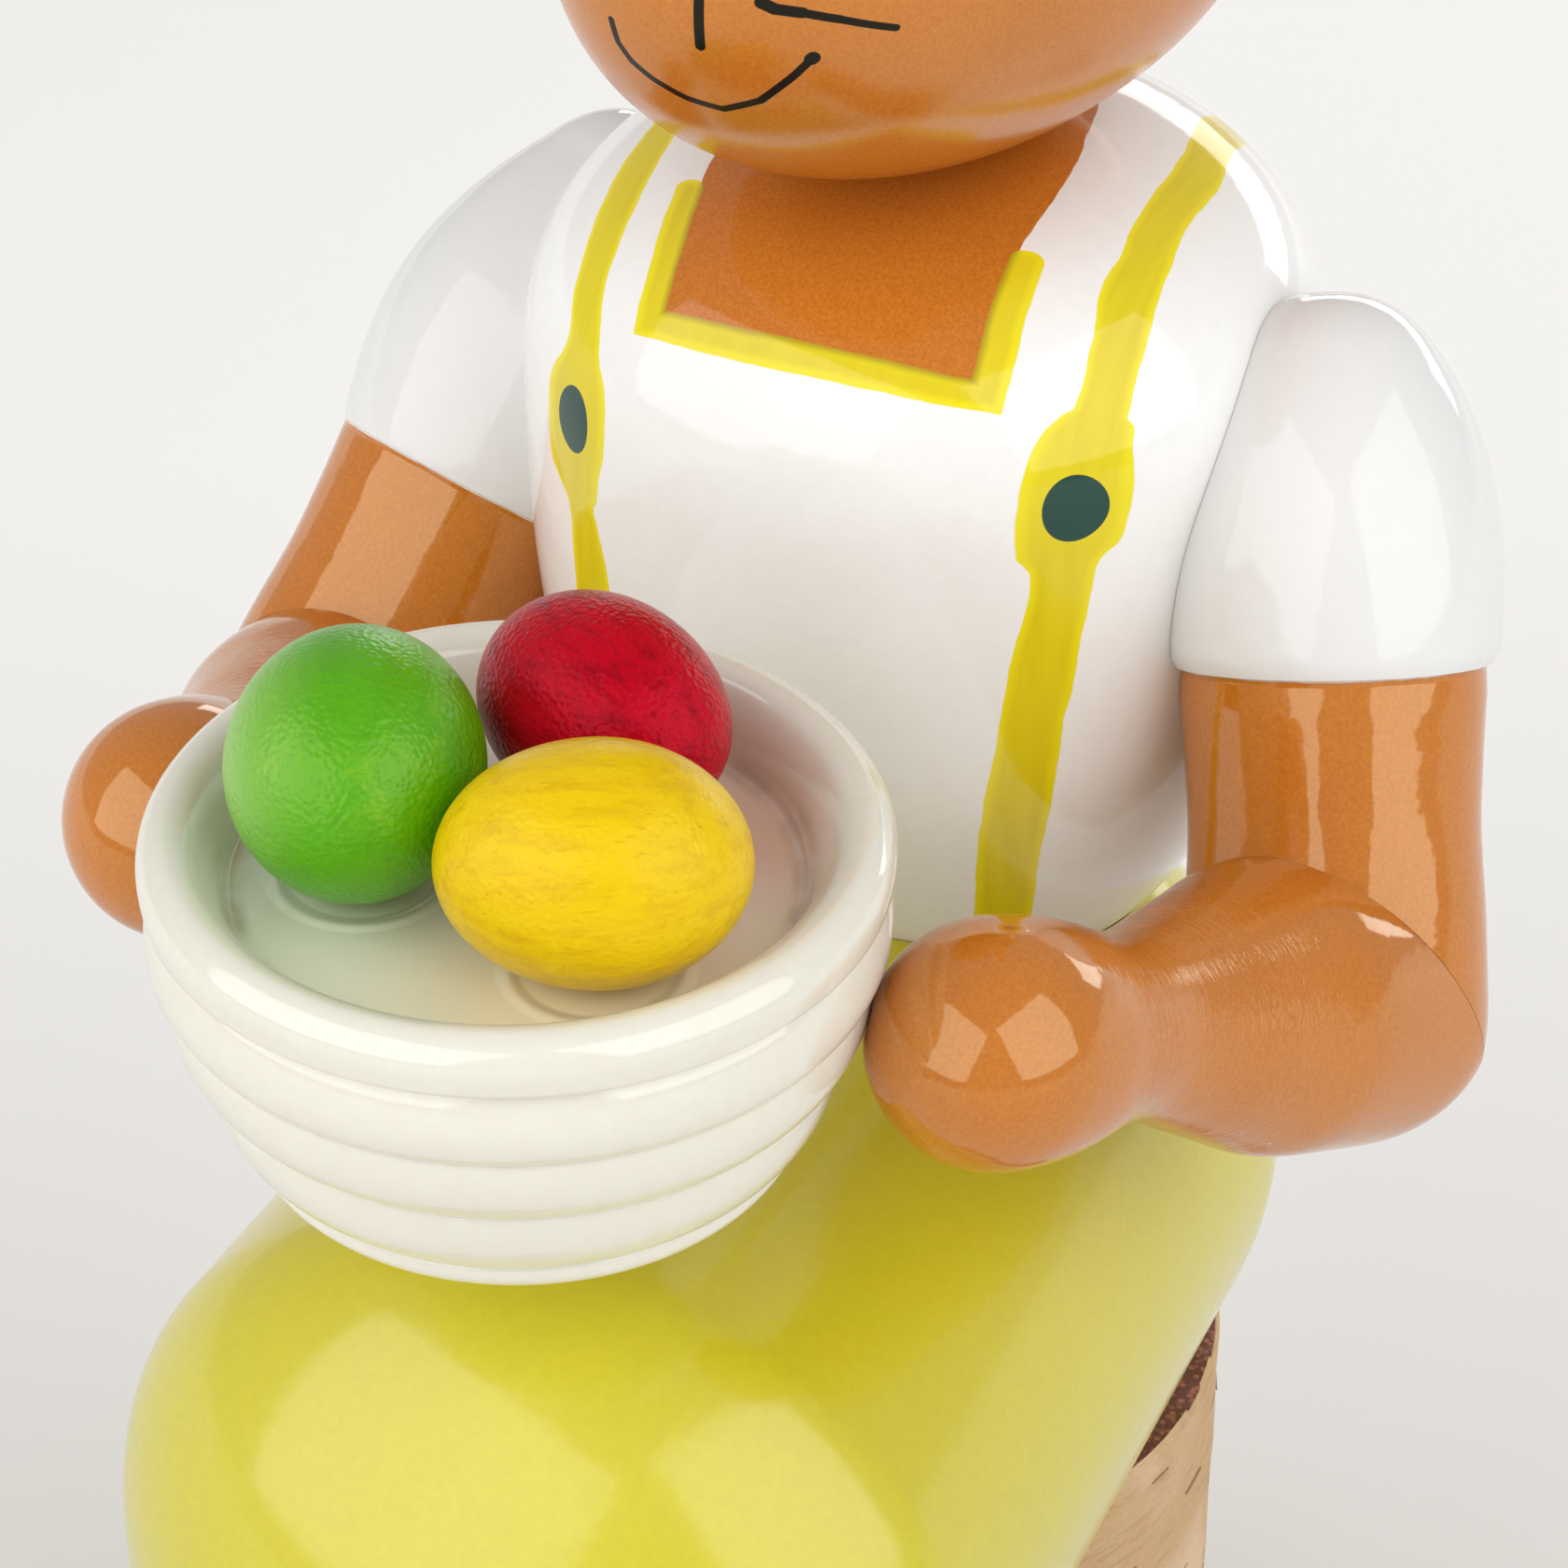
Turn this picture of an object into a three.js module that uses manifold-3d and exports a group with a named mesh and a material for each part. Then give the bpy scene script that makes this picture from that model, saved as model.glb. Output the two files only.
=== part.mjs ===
// A seated rabbit figurine of turned, lacquered wood, holding a ribbed bowl with three eggs.
// Millimetres. Z is up, X runs to the figure's left and Y to its back. The origin is the
// middle of the base's underside.
import * as THREE from 'three';
import { mergeVertices } from 'three/addons/utils/BufferGeometryUtils.js';
import Module from 'manifold-3d';

const wasm = await Module();
wasm.setup();

// Driving dimensions
const GAP = 0.3; // clearance that touching pieces keep

// Base and log stand in the frame of the whole part
const BASE = { width: 84, length: 142, height: 7, bevel: 1.4 };
const BODY_Y = 39; // the body's upright axis, behind the middle of the base
const LOG = { radius: 30.1, forward: 11.7, top: 65, chamfer: 0.8 };
const FOOT = { length: 38, width: 23, height: 10.6, apart: 29, forward: 80, turnOut: 7 };

// What sits on the log is measured from the body's axis and from the log's top
const LAP = {
  hipWidth: 31.2, // half widths of a round block that lies along Y
  kneeWidth: 32.7,
  hipY: -2,
  hipDepth: 24,
  kneeY: -65.5,
  kneeDepth: 24.5,
  hipAxis: 15.45,
  kneeAxis: 18.4,
  hipCrown: 46.6,
  kneeCrown: 48,
  kneeSquareness: 1.75,
  hem: -46.8,
  hemFlare: 2.2,
};
const TORSO = { radius: 29.35, y: 0.5, widest: 81.3, above: 20.2, below: 49.6, exponent: 2.62, cut: 37 };
const HEAD = {
  radius: 22.5,
  front: 37,
  back: 29,
  x: 0.5,
  y: 2,
  z: 124.3,
  turn: -8, // degrees about Z, towards the figure's right
};
const EAR = {
  length: 66,
  width: 17,
  depth: 9,
  apart: 20,
  back: 4, // behind the head's widest place
  splay: 8, // degrees outward
  lean: 9, // degrees backward
  hollow: 1.3,
  sunk: 5, // below the top of the head, where its foot is cut to fit
};
const BOWL = {
  y: -66.3,
  rim: 81.15, // height of the middle of the rolled rim
  rimRadius: 24.1,
  floor: 2.7, // below the rim's middle
  floorRadius: 18.2,
  footRadius: 16.4,
  depth: 22.75,
  bulge: 0.55, // of each ring beyond the line between its grooves
};
// Radius and depth below the rim's middle of the grooves between the bowl's rings
const BOWL_GROOVES = [
  [23.2, 1.9],
  [22.8, 7.4],
  [20.9, 13.1],
  [18.3, 19.3],
];
// Each egg's place on the bowl's floor. heading turns its pointed end about Z, in degrees.
const EGGS = [
  { name: 'egg_green', radius: 8.3, length: 19.8, x: -9.4, y: -3.6, heading: 24 },
  { name: 'egg_red', radius: 7.2, length: 18.8, x: 1.1, y: 10.1, heading: -113 },
  { name: 'egg_yellow', radius: 7.8, length: 19.8, x: 8.88, y: -6.2, heading: 114 },
];
const EGG_BLUNT = 0.48; // share of an egg's length behind its widest place
const ARM = {
  elbowRadius: 10.9,
  elbowSquareness: 2.6,
  sleeveSquareness: 2.4,
  handRadius: 8.3,
  handBack: 18,
  handFront: 9,
};
// Radius at each distance from the elbow. The first two, up to the mitre's inner corner, are
// the same in both parts, so that their mitred faces match.
const UPPER_ARM = [[10.75, 6], [10.45, 12.1], [10.6, 17], [10.9, 22]];
const FOREARM = [
  [10.75, 6],
  [10.45, 12.1],
  [9.3, 17],
  [8.1, 22],
  [7.1, 26],
  [6.45, 30],
  [6.45, 33],
  [6.9, 36],
];
// Each arm was glued on by hand, so the two differ a little. up points along the upper arm.
const ARMS = [
  {
    name: 'left',
    elbow: [40.3, -17.9, 47.9],
    up: [-0.206, 0.402, 0.892],
    hand: [29.7, -58.2, 69],
    sleeve: { start: 24.6, end: 50.4, radius: 11.8, puff: 0.7 },
  },
  {
    name: 'right',
    elbow: [-40.6, -17.5, 47.7],
    up: [0.242, 0.594, 0.767],
    hand: [-29.75, -58, 69.3],
    sleeve: { start: 22.5, end: 53.3, radius: 11.2, puff: 1.9 },
  },
];

const SIDES = 36; // facets round the large turned pieces
const SMALL_SIDES = 28;
const LOG_SIDES = 48;

// Finishes
const lacquer = new THREE.MeshStandardMaterial({ color: 0xb96b2c, roughness: 0.2 });
const ivory = new THREE.MeshStandardMaterial({ color: 0xf0eee4, roughness: 0.25 });
const white = new THREE.MeshStandardMaterial({ color: 0xf4f3f1, roughness: 0.2 });
const lime = new THREE.MeshStandardMaterial({ color: 0xcdc324, roughness: 0.25 });
const bark = new THREE.MeshStandardMaterial({ color: 0xd6b796, roughness: 0.85 });
const plainWood = new THREE.MeshStandardMaterial({ color: 0xd9b98c, roughness: 0.6 });
const greenDye = new THREE.MeshStandardMaterial({ color: 0x4cae1e, roughness: 0.45 });
const redDye = new THREE.MeshStandardMaterial({ color: 0xb3122e, roughness: 0.5 });
const yellowDye = new THREE.MeshStandardMaterial({ color: 0xe6c31c, roughness: 0.45 });

const figure = new THREE.Group();
const seated = new THREE.Group(); // everything that the log carries
seated.position.set(0, BODY_Y, LOG.top);
figure.add(seated);

// A closed geometry as a solid for cutting and joining
function solidOf(geometry) {
  const bare = geometry.clone();
  bare.deleteAttribute('normal');
  bare.deleteAttribute('uv');
  const merged = mergeVertices(bare, 1e-4);
  const surface = new wasm.Mesh({
    numProp: 3,
    vertProperties: new Float32Array(merged.attributes.position.array),
    triVerts: new Uint32Array(merged.index.array),
  });
  return new wasm.Manifold(surface);
}

// A solid as a geometry
function geometryOf(solid) {
  const surface = solid.getMesh();
  const geometry = new THREE.BufferGeometry();
  geometry.setAttribute('position', new THREE.BufferAttribute(new Float32Array(surface.vertProperties), 3));
  geometry.setIndex(new THREE.BufferAttribute(new Uint32Array(surface.triVerts), 1));
  geometry.computeVertexNormals();
  return geometry;
}

function add(group, name, geometry, material) {
  const mesh = new THREE.Mesh(geometry, material);
  mesh.name = name;
  group.add(mesh);
  return mesh;
}

// Turns an outline of [radius, height] pairs, listed from the bottom up, about the Z axis
function turned(outline, sides) {
  const points = outline.map(([radius, height]) => new THREE.Vector2(radius, height));
  return new THREE.LatheGeometry(points, sides).rotateX(Math.PI / 2);
}

// Point of an egg's outline at an angle from its widest place. The curve is a superellipse,
// round at an exponent of 2 and squarer above it.
function eggPoint(radius, below, above, angle, exponent = 2) {
  const across = Math.max(Math.cos(angle), 0) ** (2 / exponent);
  const along = Math.sign(angle) * Math.abs(Math.sin(angle)) ** (2 / exponent);
  const atPole = Math.abs(angle) > Math.PI / 2 - 1e-6;
  return [atPole ? 0 : radius * across, along * (angle < 0 ? below : above)];
}

function eggOutline(radius, below, above, steps, exponent) {
  const outline = [];
  for (let step = 0; step <= steps; step += 1) {
    outline.push(eggPoint(radius, below, above, Math.PI * (step / steps - 0.5), exponent));
  }
  return outline;
}

// How much of the full width is left at a share of the way along a rounded end
function rounded(share, exponent = 2) {
  return Math.max(1 - Math.min(share, 1) ** exponent, 0) ** (1 / exponent);
}

// A plain block between two corners
function block(low, high) {
  const size = high.map((value, axis) => value - low[axis]);
  const centre = high.map((value, axis) => (value + low[axis]) / 2);
  return new THREE.BoxGeometry(...size).translate(...centre);
}

// Base: an oval board with a small bevel round its edges
function makeBase() {
  const straight = (BASE.length - BASE.width) / 2;
  const radius = BASE.width / 2 - BASE.bevel;
  const outline = new THREE.Shape();
  outline.absarc(0, straight, radius, 0, Math.PI, false);
  outline.absarc(0, -straight, radius, Math.PI, Math.PI * 2, false);
  outline.closePath();
  const board = new THREE.ExtrudeGeometry(outline, {
    depth: BASE.height - BASE.bevel * 2,
    bevelThickness: BASE.bevel,
    bevelSize: BASE.bevel,
    bevelSegments: 1,
    curveSegments: 18,
  });
  add(figure, 'base', board.translate(0, 0, BASE.bevel), plainWood);
}

// Log: a sawn round of birch that stands on the base
function makeLog() {
  const height = LOG.top - BASE.height - GAP;
  const outline = [
    [0, 0],
    [LOG.radius, 0],
    [LOG.radius, height - LOG.chamfer],
    [LOG.radius - LOG.chamfer, height],
    [0, height],
  ];
  const log = add(figure, 'birch_log', turned(outline, LOG_SIDES), bark);
  log.position.set(0, BODY_Y - LOG.forward, BASE.height + GAP);
}

// Feet: rounded shoes that stand on the base, half hidden by the hem
function makeFoot(name, side) {
  const half = FOOT.width / 2;
  const shoe = turned(eggOutline(half, half, FOOT.length - half, 8, 2.2), SMALL_SIDES);
  shoe.rotateX(Math.PI / 2);
  shoe.scale(1, 1, FOOT.height / half);
  const aboveSole = block([-FOOT.width, -FOOT.length, 0], [FOOT.width, FOOT.length, FOOT.height * 2]);
  const foot = add(figure, name, geometryOf(solidOf(shoe).intersect(solidOf(aboveSole))), lacquer);
  foot.position.set((side * FOOT.apart) / 2, BODY_Y - FOOT.forward, BASE.height + GAP);
  foot.rotation.z = THREE.MathUtils.degToRad(side * FOOT.turnOut);
}

// The lap's section at a place along Y: half width, height of its middle and of its ridge,
// and how far the rounding of the ends has drawn it in
function lapSection(y) {
  const share = THREE.MathUtils.clamp((LAP.hipY - y) / (LAP.hipY - LAP.kneeY), 0, 1);
  const behind = Math.max(y - LAP.hipY, 0) / LAP.hipDepth;
  const ahead = Math.max(LAP.kneeY - y, 0) / LAP.kneeDepth;
  return {
    width: THREE.MathUtils.lerp(LAP.hipWidth, LAP.kneeWidth, share),
    middle: THREE.MathUtils.lerp(LAP.hipAxis, LAP.kneeAxis, share),
    crown: THREE.MathUtils.lerp(LAP.hipCrown, LAP.kneeCrown, share),
    drawnIn: rounded(behind) * rounded(ahead, LAP.kneeSquareness),
  };
}

// The lap is a round block laid along Y, a little wider at the knees, with rounded ends
function lapGeometry() {
  const backSteps = 5;
  const middleSteps = 4;
  const kneeSteps = 8;
  const stations = [];
  for (let step = 0; step < backSteps; step += 1) {
    stations.push(LAP.hipY + LAP.hipDepth * Math.cos((step / backSteps) * (Math.PI / 2)));
  }
  for (let step = 0; step < middleSteps; step += 1) {
    stations.push(THREE.MathUtils.lerp(LAP.hipY, LAP.kneeY, step / middleSteps));
  }
  for (let step = 0; step <= kneeSteps; step += 1) {
    const angle = (step / kneeSteps) * (Math.PI / 2);
    stations.push(LAP.kneeY - LAP.kneeDepth * Math.sin(angle) ** (2 / LAP.kneeSquareness));
  }
  // A round bar of radius 1 with a ring at each station, laid along Y, then given its sections
  const rearY = stations[0];
  const outline = stations.map((y, index) => {
    const atPole = index === 0 || index === stations.length - 1;
    return [atPole ? 0 : lapSection(y).drawnIn, rearY - y];
  });
  const lap = turned(outline, SIDES).rotateX(Math.PI / 2).translate(0, rearY, 0);
  const position = lap.attributes.position;
  for (let index = 0; index < position.count; index += 1) {
    const y = position.getY(index);
    const up = position.getZ(index);
    const { width, middle, crown } = lapSection(y);
    const height = up > 0 ? crown - middle : width;
    position.setXYZ(index, position.getX(index) * width, y, middle + up * height);
  }
  return lap;
}

// The skirt hangs from the knees as an upright rounded column, a little wider at the hem
function hangingGeometry() {
  const rows = 4;
  const outline = [[0, LAP.hem]];
  for (let step = 0; step <= rows; step += 1) {
    const share = step / rows;
    const flare = LAP.hemFlare * (1 - share) ** 2;
    outline.push([1 + flare / LAP.kneeWidth, THREE.MathUtils.lerp(LAP.hem, LAP.kneeAxis, share)]);
  }
  outline.push([0, LAP.kneeAxis]);
  const hanging = turned(outline, SIDES);
  const position = hanging.attributes.position;
  for (let index = 0; index < position.count; index += 1) {
    const x = position.getX(index);
    const y = position.getY(index);
    const size = Math.hypot(x, y);
    if (size > 0) {
      // The front follows the same curve as the rounding of the knees
      const angle = Math.asin(Math.min(Math.abs(y) / size, 1));
      const along = Math.sin(angle) ** (2 / LAP.kneeSquareness);
      const across = Math.cos(angle) ** (2 / LAP.kneeSquareness);
      const newX = Math.sign(x) * size * across * LAP.kneeWidth;
      position.setXY(index, newX, LAP.kneeY + Math.sign(y) * size * along * LAP.kneeDepth);
    } else {
      position.setXY(index, 0, LAP.kneeY);
    }
  }
  return hanging;
}

function torsoOutline(grown) {
  const rows = 12;
  const below = TORSO.below + grown;
  const toCut = TORSO.widest - TORSO.cut + grown;
  const start = -Math.asin((toCut / below) ** (TORSO.exponent / 2));
  const outline = [[0, TORSO.cut - grown]];
  for (let step = 0; step <= rows; step += 1) {
    const angle = THREE.MathUtils.lerp(start, Math.PI / 2, step / rows);
    const above = TORSO.above + grown;
    const [radius, along] = eggPoint(TORSO.radius + grown, below, above, angle, TORSO.exponent);
    outline.push([radius, TORSO.widest + along]);
  }
  return outline;
}

const torsoSpace = solidOf(turned(torsoOutline(GAP), SIDES).translate(0, TORSO.y, 0));

// Skirt: lap and hanging part carved from one block. It lies on the log and against its front.
function makeSkirt() {
  const far = 200;
  const aboveLog = solidOf(block([-far, -far, GAP], [far, far, far]));
  const logRadius = LOG.radius + GAP;
  const logSpace = turned([[0, -far], [logRadius, -far], [logRadius, GAP], [0, GAP]], LOG_SIDES);
  const hanging = solidOf(hangingGeometry()).subtract(solidOf(logSpace.translate(0, -LOG.forward, 0)));
  const body = solidOf(lapGeometry()).intersect(aboveLog).add(hanging);
  add(seated, 'skirt', geometryOf(body.subtract(torsoSpace)), lime);
}

// Torso: an egg set in a socket of the lap, its blunt end up
function makeTorso() {
  const torso = add(seated, 'torso', turned(torsoOutline(0), SIDES), white);
  torso.position.y = TORSO.y;
}

// Outline of the bowl: foot, rings that bulge between their grooves, rolled rim and shallow hollow
function bowlOutline(grown) {
  const outline = [[0, -BOWL.depth], [BOWL.footRadius + grown, -BOWL.depth]];
  let [lastRadius, lastDepth] = outline[1];
  for (const [radius, depth] of [...BOWL_GROOVES].reverse()) {
    for (const share of [1 / 3, 2 / 3]) {
      const straight = THREE.MathUtils.lerp(lastRadius, radius + grown, share);
      outline.push([straight + BOWL.bulge, THREE.MathUtils.lerp(lastDepth, -depth, share)]);
    }
    outline.push([radius + grown, -depth]);
    [lastRadius, lastDepth] = [radius + grown, -depth];
  }
  const rim = BOWL.rimRadius + grown;
  outline.push([rim, -0.9], [rim, 0.8]);
  return outline;
}

function makeBowl() {
  const rim = BOWL.rimRadius;
  const inside = [[rim - 0.9, 2.1], [rim - 2.2, 2.4], [rim - 3.5, 1.7], [rim - 4.5, 0.2]];
  const floor = [[rim - 5.2, -1.6], [BOWL.floorRadius, -BOWL.floor], [0, -BOWL.floor]];
  const bowl = add(seated, 'bowl', turned([...bowlOutline(0), ...inside, ...floor], SIDES), ivory);
  bowl.position.set(0, BOWL.y, BOWL.rim);
}

// The bowl's outside with clearance round it, for the hands that hold it
function bowlSpace() {
  const top = 6;
  const rim = BOWL.rimRadius + GAP;
  const space = turned([...bowlOutline(GAP), [rim, top], [0, top]], SIDES);
  return solidOf(space.translate(0, BOWL.y, BOWL.rim));
}

// Eggs: each lies on the bowl's floor
function makeEgg({ name, radius, length, x, y, heading }, material) {
  const below = length * EGG_BLUNT;
  const egg = turned(eggOutline(radius, below, length - below, 8), SMALL_SIDES).rotateX(-Math.PI / 2);
  const mesh = add(seated, name, egg, material);
  mesh.rotation.z = THREE.MathUtils.degToRad(heading);
  mesh.position.set(x, BOWL.y + y, BOWL.rim - BOWL.floor + GAP + radius);
}

// The rounded elbow end that both parts of an arm share
function elbowOutline() {
  const rounds = 9;
  const outline = [];
  for (let step = 0; step <= rounds; step += 1) {
    const angle = (Math.PI / 2) * (step / rounds - 1);
    outline.push(eggPoint(ARM.elbowRadius, ARM.elbowRadius, 1, angle, ARM.elbowSquareness));
  }
  return outline;
}

// Outline of the upper arm from the elbow up to the domed top of the sleeve
function upperArmOutline(sleeve) {
  const rows = 10;
  const outline = [...elbowOutline(), ...UPPER_ARM];
  for (let step = 0; step <= rows; step += 1) {
    const share = Math.sin(((step / rows) * Math.PI) / 2);
    const puff = sleeve.puff * Math.sin(Math.PI * Math.min(share * 1.2, 1));
    const radius = step === rows ? 0 : (sleeve.radius + puff) * rounded(share, ARM.sleeveSquareness);
    outline.push([radius, THREE.MathUtils.lerp(sleeve.start, sleeve.end, share)]);
  }
  return outline;
}

// Outline of the forearm from the elbow over the wrist to the end of the egg-shaped hand
function forearmOutline(length) {
  const outline = [...elbowOutline(), ...FOREARM];
  const handStart = -0.45; // in radians, where the hand grows out of the wrist
  const handRows = 7;
  for (let step = 0; step <= handRows; step += 1) {
    const angle = THREE.MathUtils.lerp(handStart, Math.PI / 2, step / handRows);
    const [radius, along] = eggPoint(ARM.handRadius, ARM.handBack, ARM.handFront, angle);
    outline.push([radius, length + along]);
  }
  return outline;
}

// Stands a geometry that was turned about Z at a point, with its top towards a direction
function aimed(geometry, place, direction) {
  const turn = new THREE.Quaternion().setFromUnitVectors(new THREE.Vector3(0, 0, 1), direction);
  return geometry.applyQuaternion(turn).translate(place.x, place.y, place.z);
}

// A large block that fills the side of a plane that its normal points to, for mitring
function halfSpace(point, normal) {
  const size = 160;
  const fill = new THREE.BoxGeometry(size, size, size).translate(0, 0, size / 2);
  return solidOf(aimed(fill, point, normal));
}

// Arms: two turned pieces each, mitred at the elbow. The upper arm, with its sleeve, is fitted
// to the body's side, and the hand to the bowl.
function makeArm({ name, elbow, up, hand, sleeve }) {
  const elbowPoint = new THREE.Vector3(...elbow);
  const upward = new THREE.Vector3(...up).normalize();
  const forward = new THREE.Vector3(...hand).sub(elbowPoint);
  const length = forward.length();
  forward.normalize();
  const mitre = upward.clone().sub(forward).normalize();
  const above = elbowPoint.clone().addScaledVector(mitre, GAP / 2);
  const below = elbowPoint.clone().addScaledVector(mitre, -GAP / 2);
  const upper = solidOf(aimed(turned(upperArmOutline(sleeve), SMALL_SIDES), elbowPoint, upward));
  const upperFitted = upper.intersect(halfSpace(above, mitre)).subtract(torsoSpace);
  add(seated, `upper_arm_${name}`, geometryOf(upperFitted), lacquer);
  const lower = solidOf(aimed(turned(forearmOutline(length), SMALL_SIDES), elbowPoint, forward));
  const lowerFitted = lower.intersect(halfSpace(below, mitre.clone().negate())).subtract(bowlSpace());
  add(seated, `forearm_${name}`, geometryOf(lowerFitted), lacquer);
}

// Head: a long egg laid level, its point forward, on a small flat on top of the body
function headSolid(grown) {
  const outline = eggOutline(HEAD.radius + grown, HEAD.back + grown, HEAD.front + grown, 14);
  const head = turned(outline, SIDES).rotateX(Math.PI / 2);
  head.rotateZ(THREE.MathUtils.degToRad(HEAD.turn)).translate(HEAD.x, HEAD.y, HEAD.z);
  const seat = TORSO.widest + TORSO.above + GAP;
  return solidOf(head).intersect(solidOf(block([-100, -100, seat], [100, 100, 300])));
}

// Ears: long flat leaves with a shallow hollow in front, their feet fitted to the head
function makeEar(name, side) {
  const tall = EAR.length * 0.6;
  const leaf = turned(eggOutline(EAR.width / 2, tall, EAR.length - tall, 12), SMALL_SIDES);
  leaf.scale(1, EAR.depth / EAR.width, 1);
  const hollowWidth = EAR.width / 2 - 3;
  const hollow = turned(eggOutline(hollowWidth, EAR.length * 0.4, EAR.length * 0.3, 6), 16);
  hollow.scale(1, (EAR.hollow + EAR.depth * 0.4) / hollowWidth, 1).translate(0, -EAR.depth * 0.8, 2);
  const geometry = geometryOf(solidOf(leaf).subtract(solidOf(hollow))).translate(0, 0, tall - EAR.sunk);
  geometry.rotateX(THREE.MathUtils.degToRad(-EAR.lean)).rotateY(THREE.MathUtils.degToRad(side * EAR.splay));
  const rise = HEAD.radius * rounded(EAR.apart / 2 / HEAD.radius);
  geometry.translate((side * EAR.apart) / 2, EAR.back, rise);
  geometry.rotateZ(THREE.MathUtils.degToRad(HEAD.turn)).translate(HEAD.x, HEAD.y, HEAD.z);
  add(seated, name, geometryOf(solidOf(geometry).subtract(headSolid(GAP))), lacquer);
}

makeBase();
makeLog();
makeFoot('foot_left', 1);
makeFoot('foot_right', -1);
makeSkirt();
makeTorso();
ARMS.forEach(makeArm);
makeBowl();
EGGS.forEach((egg, index) => makeEgg(egg, [greenDye, redDye, yellowDye][index]));
add(seated, 'head', geometryOf(headSolid(0)), lacquer);
makeEar('ear_left', 1);
makeEar('ear_right', -1);

export default figure;
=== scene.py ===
import bpy
import math
from mathutils import Euler, Matrix, Vector
from mathutils import noise as ripple


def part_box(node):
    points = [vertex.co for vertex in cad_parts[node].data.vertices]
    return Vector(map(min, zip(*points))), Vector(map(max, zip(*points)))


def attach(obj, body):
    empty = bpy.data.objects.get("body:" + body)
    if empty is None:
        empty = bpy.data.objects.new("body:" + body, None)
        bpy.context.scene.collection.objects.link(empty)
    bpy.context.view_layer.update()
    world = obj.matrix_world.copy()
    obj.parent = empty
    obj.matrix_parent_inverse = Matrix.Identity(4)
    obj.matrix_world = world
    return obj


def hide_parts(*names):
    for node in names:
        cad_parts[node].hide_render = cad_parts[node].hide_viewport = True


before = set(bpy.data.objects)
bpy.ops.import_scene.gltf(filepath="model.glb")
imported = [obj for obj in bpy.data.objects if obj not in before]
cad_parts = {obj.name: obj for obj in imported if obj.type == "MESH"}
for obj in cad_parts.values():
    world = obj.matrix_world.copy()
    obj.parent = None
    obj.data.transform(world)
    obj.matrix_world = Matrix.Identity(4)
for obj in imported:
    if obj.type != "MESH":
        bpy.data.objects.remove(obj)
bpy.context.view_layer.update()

# Studio: a pale lit table in a dim room, with a tall soft box on each side of the camera and a
# low one behind, as lacquered toys are photographed. The boxes show as windows in the gloss.
# The camera looks down from the figure's left with a long lens.
MM = 0.001
CAMERA_PLACE = (0.11985, -0.25495, 0.33112)
CAMERA_TARGET = (-0.01103, 0.039, 0.10537)
CAMERA_LENS = 114.56
ROOM_COLOUR = (1.0, 0.99, 0.975, 1)
ROOM_LIGHT = 0.46
TABLE_COLOUR = (0.9, 0.89, 0.875)
TABLE_TURN = math.radians(24)
TABLE_REACH = 4000
# The light on the table grows from front to back: the place, in millimetres, and the share there
LIT_FRONT = (-200.0, 0.42)
LIT_BACK = (260.0, 0.94)
# The table's own glow, how much is added far off, and from where to where, in millimetres
TABLE_GLOW = 0.13
FAR_GLOW = 0.42
FAR_OFF = (500, 1600)
BOX_DISTANCE = 1.05
# Each soft box: azimuth from the front towards the figure's left and elevation in degrees,
# width and height in metres, and radiance
SOFT_BOXES = {
    "soft_box_left": (-28, 30, 1.58, 1.1, 1.7),
    "soft_box_right": (76, 30, 1.1, 1.1, 1.8),
    "soft_box_behind": (178, 8, 1.1, 0.25, 2.7),
}
scene = bpy.context.scene
scene.view_settings.view_transform = "Standard"
scene.view_settings.look = "None"

camera_data = bpy.data.cameras.new("camera")
camera_data.lens = CAMERA_LENS
camera_data.sensor_width = 36
camera_data.clip_start = 0.01
camera = bpy.data.objects.new("camera", camera_data)
camera.location = CAMERA_PLACE
looking = Vector(CAMERA_TARGET) - Vector(CAMERA_PLACE)
camera.rotation_euler = looking.to_track_quat("-Z", "Y").to_euler()
scene.collection.objects.link(camera)
scene.camera = camera

room = bpy.data.worlds.new("bright_room")
room.use_nodes = True
room.node_tree.nodes["Background"].inputs["Color"].default_value = ROOM_COLOUR
room.node_tree.nodes["Background"].inputs["Strength"].default_value = ROOM_LIGHT
scene.world = room

for name, (azimuth, elevation, width, height, radiance) in SOFT_BOXES.items():
    around = math.radians(azimuth)
    rise = math.radians(elevation)
    away = Vector((math.sin(around) * math.cos(rise), -math.cos(around) * math.cos(rise), math.sin(rise)))
    box_light = bpy.data.lights.new(name, "AREA")
    box_light.shape = "RECTANGLE"
    box_light.size = width
    box_light.size_y = height
    box_light.energy = radiance * math.pi * width * height
    soft_box = bpy.data.objects.new(name, box_light)
    soft_box.location = Vector(CAMERA_TARGET) + away * BOX_DISTANCE
    soft_box.rotation_euler = away.to_track_quat("Z", "Y").to_euler()
    scene.collection.objects.link(soft_box)


def new_material(name):
    material = bpy.data.materials.new(name)
    material.use_nodes = True
    return material, material.node_tree, material.node_tree.nodes["Principled BSDF"]


# A node with its inputs set or linked, by name or number
def node(tree, kind, inputs, **settings):
    made = tree.nodes.new(kind)
    for key, value in settings.items():
        setattr(made, key, value)
    for key, value in inputs.items():
        if isinstance(value, bpy.types.NodeSocket):
            tree.links.new(value, made.inputs[key])
        else:
            made.inputs[key].default_value = value
    return made


# A sum on plain values
def calc(tree, operation, *values):
    return node(tree, "ShaderNodeMath", dict(enumerate(values)), operation=operation).outputs[0]


# The same for vectors, where a length, a distance or a dot product comes out as one value
def vector_calc(tree, operation, *values):
    made = node(tree, "ShaderNodeVectorMath", dict(enumerate(values)), operation=operation)
    return made.outputs["Value" if operation in ("LENGTH", "DISTANCE", "DOT_PRODUCT") else "Vector"]


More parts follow.
